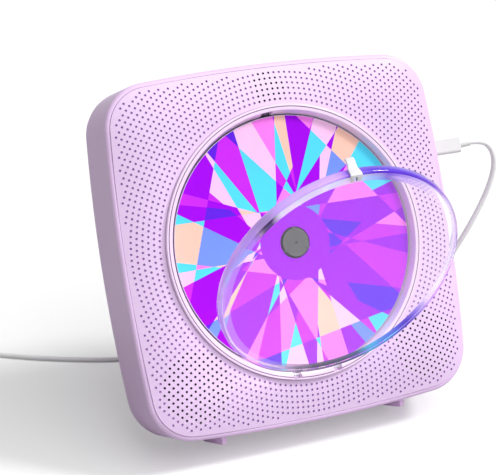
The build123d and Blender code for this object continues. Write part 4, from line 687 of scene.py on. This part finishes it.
clip_points, clip_faces = [], []
COLUMNS = (-1.0, -0.86, -0.42, 0.1, 0.86, 1.0)
SLOT, SLOT_END = 2, 1           # column and last row of the slot in the clip's forked front end
for k, (u, d, half) in enumerate(CLIP):
    before, after = CLIP[max(0, k - 1)], CLIP[min(len(CLIP) - 1, k + 1)]
    run = Vector((after[0] - before[0], after[1] - before[1])).normalized()
    off_u, off_d = run.y * CLIP_T / 2, -run.x * CLIP_T / 2
    for sign in (-1, 1):
        for share in COLUMNS:
            thin = 0.72 if abs(share) == 1.0 else 1.0
            clip_points.append(on_clip(share * half, u + sign * thin * off_u, d + sign * thin * off_d))
wide = len(COLUMNS)
slot_shade_faces = []
for k in range(len(CLIP) - 1):
    a, b = 2 * wide * k, 2 * wide * (k + 1)
    for c in range(wide - 1):
        if k <= SLOT_END and c == SLOT:
            walls = [(a + c + 1, b + c + 1), (b + c, a + c)]
            if k == SLOT_END:
                walls.append((b + c + 1, b + c))
            for low, high in walls:
                slot_shade_faces.append(len(clip_faces))
                clip_faces.append((low, high, high + wide, low + wide))
            continue
        clip_faces.append((a + c, a + c + 1, b + c + 1, b + c))
        clip_faces.append((a + wide + c, b + wide + c, b + wide + c + 1, a + wide + c + 1))
    clip_faces.append((a, b, b + wide, a + wide))
    clip_faces.append((a + wide - 1, a + 2 * wide - 1, b + 2 * wide - 1, b + wide - 1))
end = 2 * wide * (len(CLIP) - 1)
for c in range(wide - 1):
    if c != SLOT:
        clip_faces.append((c, c + wide, c + wide + 1, c + 1))
    clip_faces.append((end + c, end + c + 1, end + c + wide + 1, end + c + wide))
# painted shade: the slot's walls take dark grey for the shade inside the slot
clip_paint = [1 if k in slot_shade_faces else 0 for k in range(len(clip_faces))]
clip = piece("cover_clip", clip_points, clip_faces, "lid", ["lid_clip"], [white_mat, grey_and_slot_shade_mat],
             clip_paint, sharp=40)
modify(clip, "BEVEL", width=0.00012, segments=2, limit_method="ANGLE", angle_limit=radians(40))

# ------------------------------------------------------------------ materials of the pieces that stay as built
LOOK = {
    "front_shell": case_mat, "rear_cover": case_mat, "disc_well": well_mat, "foot_fins": fin_painted_light_mat,
    "stand_leg": stand_mat, "stand_foot_pad": rubber_mat, "stand_hinge_pin": steel_mat,
    "lid_hinge_pins": steel_mat, "turntable": black_mat, "hub_cap": grey_and_slot_shade_mat, "clamp_balls": grey_and_slot_shade_mat,
    "spindle_shaft": steel_mat, "spindle_motor": steel_mat, "mechanism_chassis": steel_mat,
    "rubber_dampers": rubber_mat, "damper_screws": steel_mat, "guide_rods": chrome_mat,
    "pickup_sled": black_mat, "pickup_lens": lens_mat, "drive_gear": nylon_mat, "sled_motor": steel_mat,
    "sled_pinion": brass_mat, "left_speaker_frame": black_mat, "right_speaker_frame": black_mat,
    "left_speaker_cone": paper_mat, "right_speaker_cone": paper_mat, "left_speaker_magnet": steel_mat,
    "right_speaker_magnet": steel_mat, "speaker_cloths": cloth_mat, "main_board": board_mat,
    "board_screws": steel_mat, "processor": black_mat, "capacitors": alu_mat, "display_module": black_mat,
    "ir_receiver": black_mat, "button_board": board_mat, "tact_switches": black_mat,
    "power_button": case_mat, "play_button": case_mat, "usb_c_socket": steel_mat, "aux_socket": black_mat,
    "case_screws": steel_mat, "well_screws": steel_mat, "power_plug": plug_mat, "plug_shell": chrome_mat,
    "strain_relief": plug_mat, "far_plug": plug_mat, "far_plug_shell": chrome_mat,
}
REPLACED = {"grille_panel", "well_ring", "compact_disc", "dust_cover", "lid_clip", "power_cord", "cord_coil",
            "cord_tail"}
missing = set(NODES) - set(LOOK) - REPLACED
if missing:
    raise RuntimeError(f"no material for {sorted(missing)}")
for name, mat in LOOK.items():
    mesh = NODES[name].data
    mesh.materials.clear()
    mesh.materials.append(mat)

# ------------------------------------------------------------------ floor, world and lamps
FLOOR_REACH, FLOOR_COLOUR, FLOOR_LIFT, FLOOR_PLAIN = 6.0, (0.70, 0.71, 0.70, 1), 0.30, (0.55, 0.55, 0.55, 1)
WORLD_LIGHT, WORLD_SEEN = 0.21, 1.0
floor_mesh = bpy.data.meshes.new("floor")
reach = FLOOR_REACH
floor_mesh.from_pydata([(-reach, -reach, 0), (reach, -reach, 0), (reach, reach, 0), (-reach, reach, 0)], [],
                       [(0, 1, 2, 3)])
floor = bpy.data.objects.new("floor", floor_mesh)
bpy.context.scene.collection.objects.link(floor)
floor_mat = bpy.data.materials.new("studio_floor")
floor_mat.use_nodes = True
tree = floor_mat.node_tree
tree.nodes.clear()
output = tree.nodes.new("ShaderNodeOutputMaterial")
paths = tree.nodes.new("ShaderNodeLightPath")
lit = tree.nodes.new("ShaderNodeBsdfDiffuse")
lit.inputs["Color"].default_value = FLOOR_COLOUR
lift = tree.nodes.new("ShaderNodeEmission")
lift.inputs["Color"].default_value = (1, 1, 1, 1)
lift.inputs["Strength"].default_value = FLOOR_LIFT
both = tree.nodes.new("ShaderNodeAddShader")
choose = tree.nodes.new("ShaderNodeMixShader")
plain = tree.nodes.new("ShaderNodeBsdfDiffuse")
plain.inputs["Color"].default_value = FLOOR_PLAIN
tree.links.new(lit.outputs[0], both.inputs[0])
tree.links.new(lift.outputs[0], both.inputs[1])
seen = tree.nodes.new("ShaderNodeMath")
seen.operation = "MAXIMUM"
tree.links.new(paths.outputs["Is Camera Ray"], seen.inputs[0])
tree.links.new(paths.outputs["Is Transmission Ray"], seen.inputs[1])
tree.links.new(seen.outputs[0], choose.inputs[0])
tree.links.new(plain.outputs[0], choose.inputs[1])
tree.links.new(both.outputs[0], choose.inputs[2])
tree.links.new(choose.outputs[0], output.inputs["Surface"])
floor_mesh.materials.append(floor_mat)

world = bpy.data.worlds.new("studio")
bpy.context.scene.world = world
world.use_nodes = True
tree = world.node_tree
tree.nodes.clear()
output = tree.nodes.new("ShaderNodeOutputWorld")
sky = tree.nodes.new("ShaderNodeBackground")
sky.inputs["Color"].default_value = (1, 1, 1, 1)
paths = tree.nodes.new("ShaderNodeLightPath")
seen = tree.nodes.new("ShaderNodeMath")
seen.operation = "MAXIMUM"
seen_too = tree.nodes.new("ShaderNodeMath")
seen_too.operation = "MAXIMUM"
level = tree.nodes.new("ShaderNodeMapRange")
level.inputs["To Min"].default_value = WORLD_LIGHT
level.inputs["To Max"].default_value = WORLD_SEEN
tree.links.new(paths.outputs["Is Camera Ray"], seen.inputs[0])
tree.links.new(paths.outputs["Is Glossy Ray"], seen.inputs[1])
tree.links.new(seen.outputs[0], seen_too.inputs[0])
tree.links.new(paths.outputs["Is Transmission Ray"], seen_too.inputs[1])
tree.links.new(seen_too.outputs[0], level.inputs["Value"])
tree.links.new(level.outputs["Result"], sky.inputs["Strength"])
tree.links.new(sky.outputs[0], output.inputs["Surface"])


def lamp(name, toward, strength, spread):
    """Even light from one side, as from a large softbox; spread is its width in degrees."""
    data = bpy.data.lights.new(name, "SUN")
    data.energy = strength
    data.angle = radians(spread)
    obj = bpy.data.objects.new(name, data)
    obj.location = toward
    obj.rotation_euler = Vector(toward).to_track_quat("Z", "Y").to_euler()
    bpy.context.scene.collection.objects.link(obj)
    return obj


lamp("key", (3.22, -1.3, 3.6), 1.9, 13)
lamp("fill", (1.3, -3.75, 5.9), 1.6, 60)
